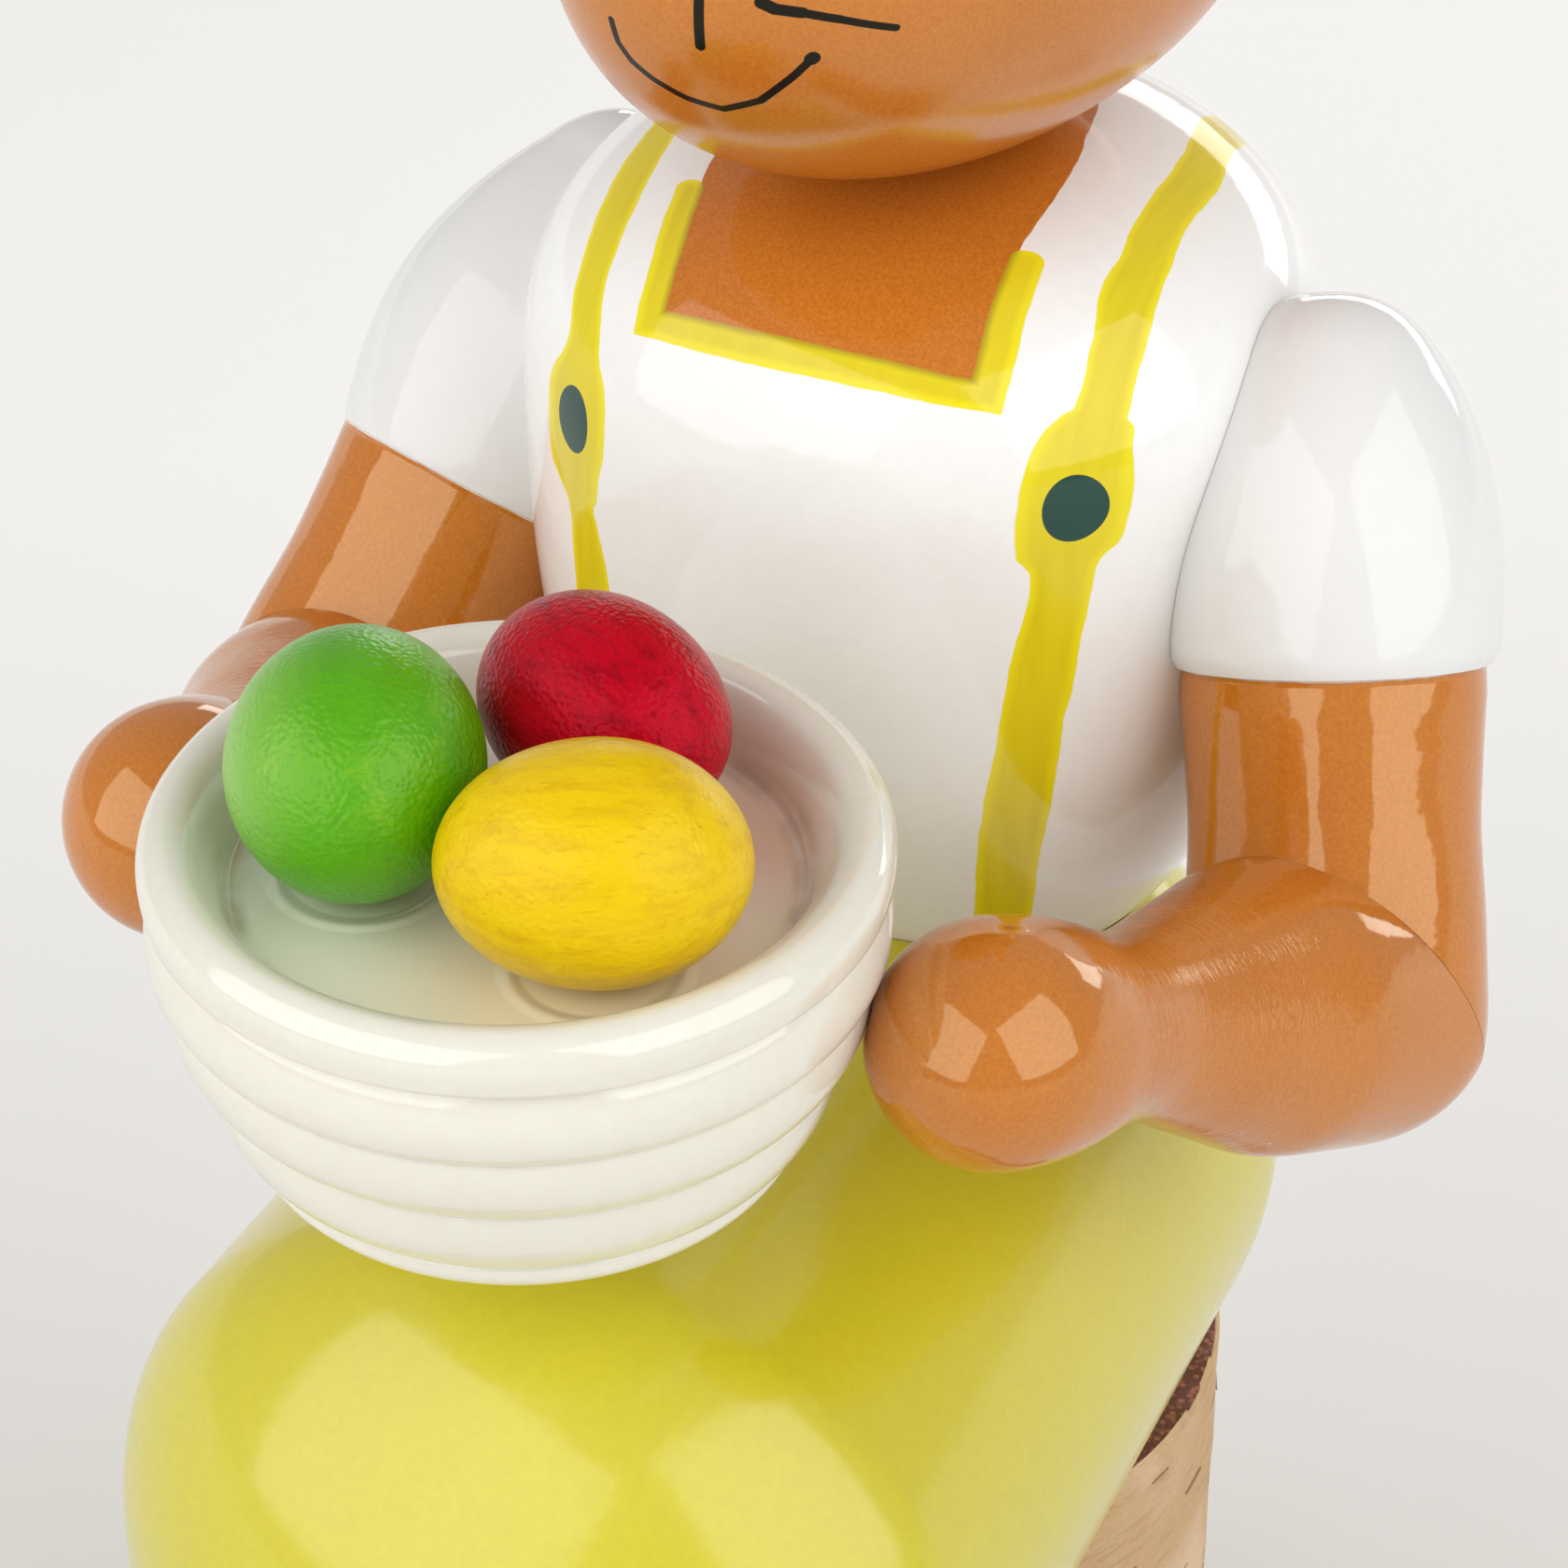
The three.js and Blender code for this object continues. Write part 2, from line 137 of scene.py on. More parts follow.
# A vector's three parts
def split(tree, vector):
    return node(tree, "ShaderNodeSeparateXYZ", {"Vector": vector}).outputs


# 0 below one value, 1 above another, and a soft step between them
def step(tree, value, low, high):
    inputs = {"Value": value, "From Min": low, "From Max": high}
    return node(tree, "ShaderNodeMapRange", inputs, interpolation_type="SMOOTHSTEP").outputs[0]


# A mix of two colours, each a plain colour or what another node gives
def blended(tree, share, first, second):
    first, second = [colour if isinstance(colour, bpy.types.NodeSocket) else (*colour, 1)
                     for colour in (first, second)]
    return node(tree, "ShaderNodeMix", {0: share, 6: first, 7: second}, data_type="RGBA").outputs[2]


# Object coordinates in millimetres from a place on the piece, turned into its own directions
def coordinates(tree, place=(0, 0, 0), turn=(0, 0, 0), stretch=(1, 1, 1)):
    source = node(tree, "ShaderNodeTexCoord", {}).outputs["Object"]
    scale = [MM * part for part in stretch]
    inputs = {"Vector": source, "Location": place, "Rotation": turn, "Scale": scale}
    return node(tree, "ShaderNodeMapping", inputs, vector_type="TEXTURE").outputs[0]


def noise(tree, vector, scale, detail=2, roughness=0.5, distortion=0):
    inputs = {"Vector": vector, "Scale": scale, "Detail": detail, "Roughness": roughness}
    inputs["Distortion"] = distortion
    return node(tree, "ShaderNodeTexNoise", inputs).outputs["Fac"]


# Layers of unevenness, each with a depth in millimetres
def bump(tree, shader, *layers):
    normal = None
    for height, depth in layers:
        inputs = {"Height": height, "Distance": depth * MM, "Strength": 1.0}
        if normal is not None:
            inputs["Normal"] = normal
        normal = node(tree, "ShaderNodeBump", inputs).outputs[0]
    tree.links.new(normal, shader.inputs["Normal"])


# A mesh object at the origin from points in millimetres
def piece(name, points, faces, material, smooth_angle=40):
    mesh = bpy.data.meshes.new(name)
    mesh.from_pydata([Vector(point) * MM for point in points], [], faces)
    mesh.validate()
    made = bpy.data.objects.new(name, mesh)
    scene.collection.objects.link(made)
    mesh.materials.append(material)
    mesh.shade_smooth()
    mesh.set_sharp_from_angle(angle=math.radians(smooth_angle))
    return made


def srgb(red, green, blue):
    return tuple(((part / 255 + 0.055) / 1.055) ** 2.4 for part in (red, green, blue))


floor_material, tree, shader = new_material("table")
cloud = noise(tree, coordinates(tree), 0.004)
# The light falls off towards the camera's side of the table
across_table = coordinates(tree, turn=(0, 0, TABLE_TURN))
depth = split(tree, across_table)["Y"]
lit = node(tree, "ShaderNodeMapRange", {"Value": depth, "From Min": LIT_FRONT[0], "From Max": LIT_BACK[0],
                                        "To Min": LIT_FRONT[1], "To Max": LIT_BACK[1]}).outputs[0]
shade = blended(tree, cloud, TABLE_COLOUR, [part * 0.985 for part in TABLE_COLOUR])
shade = blended(tree, lit, [part * 0.5 for part in TABLE_COLOUR], shade)
tree.links.new(shade, shader.inputs["Base Color"])
shader.inputs["Roughness"].default_value = 0.6
shader.inputs["Specular IOR Level"].default_value = 0.2
tree.links.new(shade, shader.inputs["Emission Color"])
# Far off the white table meets the white room
far_off = step(tree, vector_calc(tree, "LENGTH", across_table), *FAR_OFF)
glow = calc(tree, "MULTIPLY_ADD", far_off, FAR_GLOW, TABLE_GLOW)
tree.links.new(calc(tree, "MULTIPLY", lit, glow), shader.inputs["Emission Strength"])
corners = [(x * TABLE_REACH, y * TABLE_REACH, 0) for x, y in ((-1, -1), (1, -1), (1, 1), (-1, 1))]
piece("table", corners, [(0, 1, 2, 3)], floor_material)


# Base: an oval board of pale softwood that the whole figure stands on, sawn out, its edges
# rounded over and given one coat of clear varnish. The log and the feet are glued to it.
BASE_WIDTH, BASE_LENGTH, BASE_HEIGHT = [(high - low) / MM for low, high in zip(*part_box("base"))]
BASE_ROUND = 1.4
BOARD_PALE = srgb(222, 190, 146)
BOARD_DARK = srgb(196, 152, 104)
# The pith of the tree lay beside and below the board, so its rings are arcs on the sawn ends
PITH = (0.006, 0, -0.05)


# Turns an outline of (radius, height) points, from the bottom up, round the Z axis
def turned(outline, sides):
    points = []
    rings = []
    for radius, height in outline:
        count = sides if radius > 1e-6 else 1
        rings.append(range(len(points), len(points) + count))
        for side in range(count):
            angle = 2 * math.pi * side / sides
            points.append(Vector((radius * math.cos(angle), radius * math.sin(angle), height)))
    faces = []
    for lower, upper in zip(rings, rings[1:]):
        for side in range(sides):
            after = (side + 1) % sides
            if len(lower) == 1:
                faces.append((lower[0], upper[after], upper[side]))
            elif len(upper) == 1:
                faces.append((lower[side], lower[after], upper[0]))
            else:
                faces.append((lower[side], lower[after], upper[after], upper[side]))
    return points, faces


def arc(centre, radius, start, end, steps):
    angles = [math.radians(start + (end - start) * number / steps) for number in range(steps + 1)]
    return [(centre[0] + radius * math.cos(angle), centre[1] + radius * math.sin(angle)) for angle in angles]


def make_board():
    half = BASE_WIDTH / 2
    outline = [(0, 0)]
    outline += arc((half - BASE_ROUND, BASE_ROUND), BASE_ROUND, -90, 0, 6)
    outline += arc((half - BASE_ROUND, BASE_HEIGHT - BASE_ROUND), BASE_ROUND, 0, 90, 6)
    outline += [(half - 4, BASE_HEIGHT), (0, BASE_HEIGHT)]
    points, faces = turned(outline, 128)
    # The round board is drawn out: its two halves move apart, and the sides between are straight
    straight = (BASE_LENGTH - BASE_WIDTH) / 2
    for point in points:
        point.y += straight * max(min(point.y / 2, 1), -1)
    return points, faces


board_material, tree, shader = new_material("varnished_board")
place = coordinates(tree, stretch=(1, 9, 1))
patches = noise(tree, place, 0.22, detail=3, distortion=0.6)
bands = node(tree, "ShaderNodeTexWave", {"Vector": place, "Scale": 0.1, "Distortion": 4, "Detail": 3},
             bands_direction="X").outputs["Fac"]
fibre = noise(tree, coordinates(tree, stretch=(1, 30, 1)), 3.2, detail=4, roughness=0.7)
grain = calc(tree, "MULTIPLY_ADD", bands, 0.45, calc(tree, "MULTIPLY", fibre, 0.6))
colour = blended(tree, grain, BOARD_PALE, BOARD_DARK)
colour = blended(tree, step(tree, patches, 0.5, 0.75), colour, BOARD_PALE)
# The sawn ends, where the surface faces along the board
growth = node(tree, "ShaderNodeTexWave", {"Vector": coordinates(tree, place=PITH), "Scale": 0.16,
                                          "Distortion": 1.5, "Detail": 2},
              wave_type="RINGS", rings_direction="Y").outputs["Fac"]
pores = noise(tree, coordinates(tree), 2.4, detail=3)
end_grain = calc(tree, "MULTIPLY_ADD", growth, 0.7, calc(tree, "MULTIPLY", pores, 0.5))
end_colour = blended(tree, end_grain, BOARD_PALE, BOARD_DARK)
facing = split(tree, node(tree, "ShaderNodeNewGeometry", {}).outputs["Normal"])
at_end = step(tree, calc(tree, "ABSOLUTE", facing["Y"]), 0.25, 0.7)
tree.links.new(blended(tree, at_end, colour, end_colour), shader.inputs["Base Color"])
tree.links.new(calc(tree, "MULTIPLY_ADD", fibre, 0.2, 0.35), shader.inputs["Roughness"])
bump(tree, shader, (calc(tree, "MULTIPLY", fibre, calc(tree, "SUBTRACT", 1, at_end)), 0.05))
board = piece("oval_board", *make_board(), board_material)
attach(board, "root")
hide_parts("base")


# Birch log: a sawn length of thin birch with its bark on, which the figure sits on. The paper
# bark is tan and peels in small curls, with dark lenticels, and the sawn end shows the red
# granular inner bark as a ring. It is glued upright on the base.

# The two corners of the box round a solid, in millimetres
def box_corners(node_name):
    return [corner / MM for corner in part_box(node_name)]


LOG_LOW, LOG_HIGH = box_corners("birch_log")
LOG_RADIUS = (LOG_HIGH.x - LOG_LOW.x) / 2
LOG_MIDDLE = (LOG_LOW + LOG_HIGH) / 2
LOG_HEIGHT = LOG_HIGH.z - LOG_LOW.z
LOG_FOOT = Vector((LOG_MIDDLE.x, LOG_MIDDLE.y, LOG_LOW.z))
BARK_THICKNESS = 2.5
BARK_UNEVEN = 0.35
BARK_TAN = srgb(204, 168, 124)
BARK_PALE = srgb(220, 192, 158)
BARK_STREAK = srgb(166, 128, 92)
INNER_BARK = srgb(158, 100, 82)
INNER_BARK_DARK = srgb(100, 58, 50)
LOG_WOOD = srgb(226, 196, 150)
LOG_RING = srgb(196, 156, 108)
LENTICEL_BROWN = srgb(140, 106, 80)
# The marks on the bark, in metres: how close they come, and the size of the largest
LENTICEL_SIZES = {"Closest": 0.0085, "Length": 0.0036, "Width": 0.0004, "Thickness": 0.0002}
CURL_SIZES = {"Closest": 0.016, "Length": 0.006, "Width": 0.0018, "Thickness": 0.0002}
CURL_BEND = -0.25
SMALLEST_SHARE = 0.35


# The bark is drawn in here and there by up to its unevenness
def make_log():
    outline = [(0, 0), (LOG_RADIUS - 0.6, 0)]
    outline += [(LOG_RADIUS, 0.6 + (LOG_HEIGHT - 1.2) * row / 70) for row in range(71)]
    outline += [(LOG_RADIUS - 0.5, LOG_HEIGHT), (LOG_RADIUS - BARK_THICKNESS, LOG_HEIGHT), (0, LOG_HEIGHT)]
    points, faces = turned(outline, 220)
    for point in points:
        radius = math.hypot(point.x, point.y)
        if radius > LOG_RADIUS - 1:
            swell = ripple.noise(Vector((point.x, point.y, point.z * 1.6)) * 0.09)
            fine = ripple.noise(Vector((point.x, point.y, point.z * 3)) * 0.4)
            drawn_in = BARK_UNEVEN * (1.2 + swell + fine * 0.4) / 2.6
            point.x *= 1 - drawn_in / radius
            point.y *= 1 - drawn_in / radius
    return [point + LOG_FOOT for point in points], faces


# A place without its height
def level(tree, place):
    parts = split(tree, place)
    return node(tree, "ShaderNodeCombineXYZ", {"X": parts["X"], "Y": parts["Y"]}).outputs[0]


bark_material, tree, shader = new_material("birch_bark_and_ends")
place = coordinates(tree, place=LOG_FOOT * MM)
flat = level(tree, place)
from_pith = vector_calc(tree, "LENGTH", flat)
streaks = noise(tree, coordinates(tree, place=LOG_FOOT * MM, stretch=(1, 1, 0.16)), 0.13, detail=5,
                roughness=0.65)
patches = noise(tree, place, 0.07, detail=3)
grit = noise(tree, place, 2.2, detail=3, roughness=0.7)
bark = blended(tree, step(tree, streaks, 0.5, 0.8), BARK_TAN, BARK_STREAK)
bark = blended(tree, step(tree, patches, 0.45, 0.68), bark, BARK_PALE)
bark = blended(tree, calc(tree, "MULTIPLY", grit, 0.12), bark, BARK_STREAK)
wobbly = calc(tree, "ADD", from_pith, calc(tree, "MULTIPLY", noise(tree, place, 0.12), 2.4))
year = calc(tree, "SINE", calc(tree, "MULTIPLY", wobbly, 3.6))
fibre = noise(tree, place, 5, detail=3)
wood = blended(tree, step(tree, year, 0.2, 1), LOG_WOOD, LOG_RING)
wood = blended(tree, calc(tree, "MULTIPLY", fibre, 0.3), wood, LOG_RING)
grains = node(tree, "ShaderNodeTexVoronoi", {"Vector": place, "Scale": 1.6}).outputs["Distance"]
inner = blended(tree, step(tree, grains, 0.15, 0.6), INNER_BARK, INNER_BARK_DARK)
# The wavering adds a little more than one millimetre to the distance from the pith
at_bark = step(tree, wobbly, LOG_RADIUS - BARK_THICKNESS + 1, LOG_RADIUS - BARK_THICKNESS + 1.3)
facing = split(tree, node(tree, "ShaderNodeNewGeometry", {}).outputs["Normal"])
on_end = step(tree, calc(tree, "ABSOLUTE", facing["Z"]), 0.75, 0.8)
sawn = blended(tree, at_bark, wood, inner)
tree.links.new(blended(tree, on_end, bark, sawn), shader.inputs["Base Color"])
tree.links.new(calc(tree, "MULTIPLY_ADD", grit, 0.25, 0.6), shader.inputs["Roughness"])
bump(tree, shader, (grit, 0.12), (streaks, 0.6))
lenticel_material, tree, shader = new_material("lenticels")
speckle = noise(tree, coordinates(tree), 1.5, detail=4)
tree.links.new(blended(tree, speckle, LENTICEL_BROWN, BARK_STREAK), shader.inputs["Base Color"])
shader.inputs["Roughness"].default_value = 0.8
curl_material, tree, shader = new_material("bark_curls")
speckle = noise(tree, coordinates(tree, stretch=(1, 1, 0.2)), 0.5, detail=4)
tree.links.new(blended(tree, speckle, BARK_PALE, BARK_STREAK), shader.inputs["Base Color"])
shader.inputs["Roughness"].default_value = 0.7


# A tree that scatters one small form over the bark, each lying round the trunk
def scatter_tree(name, material, bend):
    tree = bpy.data.node_groups.new(name, "GeometryNodeTree")
    tree.interface.new_socket("Bark", in_out="INPUT", socket_type="NodeSocketGeometry")
    for label in ("Closest", "Length", "Width", "Thickness"):
        tree.interface.new_socket(label, in_out="INPUT", socket_type="NodeSocketFloat")
    tree.interface.new_socket("Seed", in_out="INPUT", socket_type="NodeSocketInt")
    tree.interface.new_socket("Marks", in_out="OUTPUT", socket_type="NodeSocketGeometry")
    source = tree.nodes.new("NodeGroupInput").outputs
    result = tree.nodes.new("NodeGroupOutput").inputs
    # Only the upright bark is marked, not the sawn ends
    facing = split(tree, node(tree, "GeometryNodeInputNormal", {}).outputs[0])
    upright = node(tree, "FunctionNodeCompare", {"A": calc(tree, "ABSOLUTE", facing["Z"]), "B": 0.3},
                   data_type="FLOAT", operation="LESS_THAN").outputs["Result"]
    spots = node(tree, "GeometryNodeDistributePointsOnFaces",
                 {"Mesh": source["Bark"], "Selection": upright, "Distance Min": source["Closest"],
                  "Density Max": 400000.0, "Seed": source["Seed"]}, distribute_method="POISSON").outputs
    along = vector_calc(tree, "CROSS_PRODUCT", (0, 0, 1), spots["Normal"])
    lying = node(tree, "FunctionNodeAlignRotationToVector", {"Vector": spots["Normal"]}, axis="Z").outputs[0]
    lying = node(tree, "FunctionNodeAlignRotationToVector", {"Rotation": lying, "Vector": along},
                 axis="X", pivot_axis="Z").outputs[0]
    form = node(tree, "GeometryNodeMeshCube", {"Size": (1, 1, 1), "Vertices X": 7, "Vertices Y": 4,
                                               "Vertices Z": 2}).outputs["Mesh"]
    # The mark narrows to both ends, and a curl stands off the bark in its middle
    spot = split(tree, node(tree, "GeometryNodeInputPosition", {}).outputs[0])
    narrow = calc(tree, "SUBTRACT", 1, calc(tree, "MULTIPLY", calc(tree, "POWER", spot["X"], 2), 3.4))
    lift = calc(tree, "MULTIPLY", calc(tree, "POWER", spot["X"], 2), bend)
    shape = node(tree, "ShaderNodeCombineXYZ",
                 {"X": calc(tree, "MULTIPLY", spot["X"], source["Length"]),
                  "Y": calc(tree, "MULTIPLY", calc(tree, "MULTIPLY", spot["Y"], narrow), source["Width"]),
                  "Z": calc(tree, "ADD", calc(tree, "MULTIPLY", spot["Z"], source["Thickness"]),
                            calc(tree, "MULTIPLY", lift, source["Length"]))}).outputs[0]
    form = node(tree, "GeometryNodeSetPosition", {"Geometry": form, "Position": shape}).outputs[0]
    size = node(tree, "FunctionNodeRandomValue", {2: SMALLEST_SHARE, 3: 1.0, "Seed": source["Seed"]},
                data_type="FLOAT").outputs[1]
    marks = node(tree, "GeometryNodeInstanceOnPoints",
                 {"Points": spots["Points"], "Instance": form, "Rotation": lying, "Scale": size}).outputs[0]
    real = node(tree, "GeometryNodeRealizeInstances", {"Geometry": marks}).outputs[0]
    real = node(tree, "GeometryNodeSetMaterial", {"Geometry": real, "Material": material}).outputs[0]
    tree.links.new(real, result["Marks"])
    return tree


# Keeps what an object's modifiers make as its plain mesh
def settled(target):
    mesh = bpy.data.meshes.new_from_object(target.evaluated_get(bpy.context.evaluated_depsgraph_get()))
    target.modifiers.clear()
    target.data = mesh


# A new object with what a tree makes on another object's surface
def scattered(name, source, tree, material, **sizes):
    made = bpy.data.objects.new(name, source.data)
    scene.collection.objects.link(made)
    modifier = made.modifiers.new("scatter", "NODES")
    modifier.node_group = tree
    for item in tree.interface.items_tree:
        if item.in_out == "INPUT" and item.name in sizes:
            modifier[item.identifier] = sizes[item.name]
    settled(made)
    made.data.materials.clear()
    made.data.materials.append(material)
    return made


log = piece("birch_round", *make_log(), bark_material, smooth_angle=50)
lenticels = scattered("lenticels", log, scatter_tree("lenticel_marks", lenticel_material, 0.0),
                      lenticel_material, Seed=4, **LENTICEL_SIZES)
curls = scattered("bark_curls", log, scatter_tree("bark_curl_marks", curl_material, CURL_BEND),
                  curl_material, Seed=9, **CURL_SIZES)
for made in (log, lenticels, curls):
    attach(made, "root")
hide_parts("birch_log")


# Feet: two rounded wooden shoes, flat underneath, dipped in the same brown lacquer as the
# arms. They are glued to the base under the hem.
FOOT_LENGTH = 38
FOOT_HALF_WIDTH = 11.5
FOOT_SQUARENESS = 2.2
FOOT_TURN = math.radians(7)
LACQUER_BROWN = srgb(202, 122, 40)
LACQUER_DARK = srgb(178, 98, 28)
BROWN_GLOSS_TINT = (1.0, 0.97, 0.66)
DUST = srgb(246, 240, 230)
DUST_RARENESS = 0.985
# Depths in millimetres of the lacquer's slow waves, its fine skin and the dust
LACQUER_WAVES = 0.03
LACQUER_SKIN = 0.0012
DUST_HEIGHT = 0.04


# Gloss lacquer over smooth wood: fine speckle in the colour, a slow unevenness that makes
# the reflections waver, and grains of dust caught while it dried. Shine is how strongly the
# surface reflects, and roughness is how blurred the reflections are.
def lacquer(name, colour, darker, shine, roughness=0.07, speckle_size=3.6):
    material, tree, shader = new_material(name)
    place = coordinates(tree)
    cloud = noise(tree, place, 0.11, detail=2)
    speckle = noise(tree, place, speckle_size, detail=3, roughness=0.7)
    flecks = calc(tree, "MULTIPLY", step(tree, speckle, 0.3, 0.7), 0.6)
    paint = blended(tree, calc(tree, "MULTIPLY_ADD", cloud, 0.35, flecks), colour, darker)
    grains = node(tree, "ShaderNodeTexVoronoi", {"Vector": place, "Scale": 0.55}).outputs
    rare = node(tree, "ShaderNodeSeparateColor", {"Color": grains["Color"]}).outputs["Red"]
    grain_size = calc(tree, "MULTIPLY", calc(tree, "GREATER_THAN", rare, DUST_RARENESS), 0.07)
    specks = calc(tree, "LESS_THAN", grains["Distance"], grain_size)
    tree.links.new(blended(tree, specks, paint, DUST), shader.inputs["Base Color"])
    shader.inputs["Roughness"].default_value = roughness
    shader.inputs["Specular IOR Level"].default_value = shine
    slow = noise(tree, place, 0.34, detail=2)
    bump(tree, shader, (slow, LACQUER_WAVES), (speckle, LACQUER_SKIN), (specks, DUST_HEIGHT))
    return material, tree, shader, paint


# Brown lacquer, whose gloss is a little yellow
def brown_lacquer(name, roughness=0.07):
    material, tree, shader, paint = lacquer(name, LACQUER_BROWN, LACQUER_DARK, 1.0, roughness)
    shader.inputs["Specular Tint"].default_value = (*BROWN_GLOSS_TINT, 1)
    return material, tree, shader, paint


brown_material = brown_lacquer("brown_lacquer")[0]


# A place on a circle of radius 1, which is squarer the more the squareness is above 2
def squared(angle, squareness):
    across = max(math.cos(angle), 0) ** (2 / squareness)
    return across, math.copysign(abs(math.sin(angle)) ** (2 / squareness), angle)


def egg_outline(radius, below, above, steps, squareness=2):
    outline = []
    for number in range(steps + 1):
        angle = math.pi * (number / steps - 0.5)
        across, along = squared(angle, squareness)
        at_pole = number in (0, steps)
        outline.append((0 if at_pole else radius * across, along * (below if angle < 0 else above)))
    return outline


def moved(points, matrix):
    return [matrix @ Vector(point) for point in points]


for side, side_name in ((1, "left"), (-1, "right")):
    node_name = f"foot_{side_name}"
    low, high = box_corners(node_name)
    middle_x = (low.x + high.x) / 2
    heel = FOOT_HALF_WIDTH
    points, faces = turned(egg_outline(FOOT_HALF_WIDTH, heel, FOOT_LENGTH - heel, 56, FOOT_SQUARENESS), 72)
    points = moved(points, Matrix.Rotation(math.pi / 2, 4, "X"))
    # Flat underneath
    for point in points:
        point.z = max(point.z * ((high.z - low.z) / FOOT_HALF_WIDTH), 0)
    toed_out = Matrix.Rotation(side * FOOT_TURN, 4, "Z")
    points = moved(points, Matrix.Translation((middle_x, 0, low.z)) @ toed_out)
    shift_x = middle_x - (min(point.x for point in points) + max(point.x for point in points)) / 2
    shift_y = low.y - min(point.y for point in points)
    points = moved(points, Matrix.Translation((shift_x, shift_y, 0)))
    shoe = piece(f"shoe_{side_name}", points, faces, brown_material, smooth_angle=60)
    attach(shoe, "root")
    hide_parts(node_name)


# Skirt: the lap and the hanging front of the skirt, carved from one block of lime wood and
# dipped in lime lacquer. It is glued on the log's end, and the body stands in its socket.
# The lap at the hips and at the knees: its place along Y, how far it reaches on from there, its
# half width, and the height of its axis and of its top
LAP_HIP = {"y": -2, "depth": 24, "width": 31.2, "axis": 15.45, "crown": 46.6}
LAP_KNEE = {"y": -65.5, "depth": 24.5, "width": 32.7, "axis": 18.4, "crown": 48}
# Below 2, so that the knees are a little pointed
KNEE_SQUARENESS = 1.75
HEM = -46.8
HEM_FLARE = 2.2
SEAM = 0.06
# The body is needed here for its socket. It is widest at a height of its own, reaches above and
# below that, and is cut flat at its foot.
BODY_RADIUS = 29.35
BODY_Y = 0.5
BODY_WIDEST = 81.3
BODY_ABOVE = 20.2
BODY_BELOW = 49.6
BODY_SQUARENESS = 2.62
BODY_CUT = 37
LIME = srgb(206, 196, 32)
LIME_DEEP = srgb(199, 188, 24)
# The middle of the figure on the log's end, from which all its sizes are measured
SEAT = Vector((0, 39, LOG_HIGH.z))


def seated(points):
    return moved(points, Matrix.Translation(SEAT))


def mixed(first, second, share):
    return first + (second - first) * share


# How wide a rounded end still is at a share of its length
def rounded(share, squareness=2):
    return max(1 - min(share, 1) ** squareness, 0) ** (1 / squareness)


# The lap lies along Y, from behind the body to the knees, and is round across
def lap_mesh(back_rows=36, middle_rows=60, knee_rows=64, sides=192):
    stations = [LAP_HIP["y"] + LAP_HIP["depth"] * math.cos(row / back_rows * math.pi / 2)
                for row in range(back_rows)]
    stations += [mixed(LAP_HIP["y"], LAP_KNEE["y"], row / middle_rows) for row in range(middle_rows)]
    stations += [LAP_KNEE["y"] - LAP_KNEE["depth"] * math.sin(row / knee_rows * math.pi / 2)
                 ** (2 / KNEE_SQUARENESS) for row in range(knee_rows + 1)]
    outline = []
    for row, y in enumerate(stations):
        behind = max(y - LAP_HIP["y"], 0) / LAP_HIP["depth"]
        ahead = max(LAP_KNEE["y"] - y, 0) / LAP_KNEE["depth"]
        at_pole = row in (0, len(stations) - 1)
        outline.append((0 if at_pole else rounded(behind) * rounded(ahead, KNEE_SQUARENESS), y))
    points, faces = turned(outline, sides)
    for point in points:
        y = point.z
        share = min(max((LAP_HIP["y"] - y) / (LAP_HIP["y"] - LAP_KNEE["y"]), 0), 1)
        width, axis, crown = [mixed(LAP_HIP[key], LAP_KNEE[key], share) for key in ("width", "axis", "crown")]
        up = point.y
        point.xyz = (point.x * width, y, axis + up * (crown - axis if up > 0 else width))
    return points, faces


# The hanging front has the knees' outline all the way down, and flares a little to its hem
def hanging_mesh(rows=48, sides=192):
    flare = HEM_FLARE / LAP_KNEE["width"]
    outline = [(0, HEM), (0.985 + flare, HEM), (0.998 + flare, HEM + 0.35)]
    for row in range(1, rows + 1):
        share = row / rows
        flare = HEM_FLARE * (1 - share) ** 2 / LAP_KNEE["width"]
        outline.append((1 + flare, mixed(HEM, LAP_KNEE["axis"], share)))
    outline.append((0, LAP_KNEE["axis"]))
    points, faces = turned(outline, sides)
    for point in points:
        size = math.hypot(point.x, point.y)
        if size > 0:
            along = (abs(point.y) / size) ** (2 / KNEE_SQUARENESS)
            across = (abs(point.x) / size) ** (2 / KNEE_SQUARENESS)
            point.x = math.copysign(size * across * LAP_KNEE["width"], point.x)
            point.y = math.copysign(size * along * LAP_KNEE["depth"], point.y) + LAP_KNEE["y"]
        else:
            point.y = LAP_KNEE["y"]
    return points, faces


# The body's outline, cut flat below, and grown where it serves to cut its socket
def body_outline(grown, rows=96):
    below = BODY_BELOW + grown
    above = BODY_ABOVE + grown
    start = -math.asin(((BODY_WIDEST - BODY_CUT + grown) / below) ** (BODY_SQUARENESS / 2))
    outline = [(0, BODY_CUT - grown)]
    for row in range(rows + 1):
        angle = mixed(start, math.pi / 2, row / rows)
        across, along = squared(angle, BODY_SQUARENESS)
        height = along * (below if angle < 0 else above)
        outline.append((0 if row == rows else (BODY_RADIUS + grown) * across, BODY_WIDEST + height))
    return outline


def body_solid(grown):
    points, faces = turned(body_outline(grown), 192)
    return seated(moved(points, Matrix.Translation((0, BODY_Y, 0)))), faces


# A plain block between two corners
def block(low, high):
    points = [(x, y, z) for x in (low[0], high[0]) for y in (low[1], high[1]) for z in (low[2], high[2])]
    faces = [(0, 1, 3, 2), (4, 6, 7, 5), (0, 4, 5, 1), (2, 3, 7, 6), (0, 2, 6, 4), (1, 5, 7, 3)]
    return points, faces


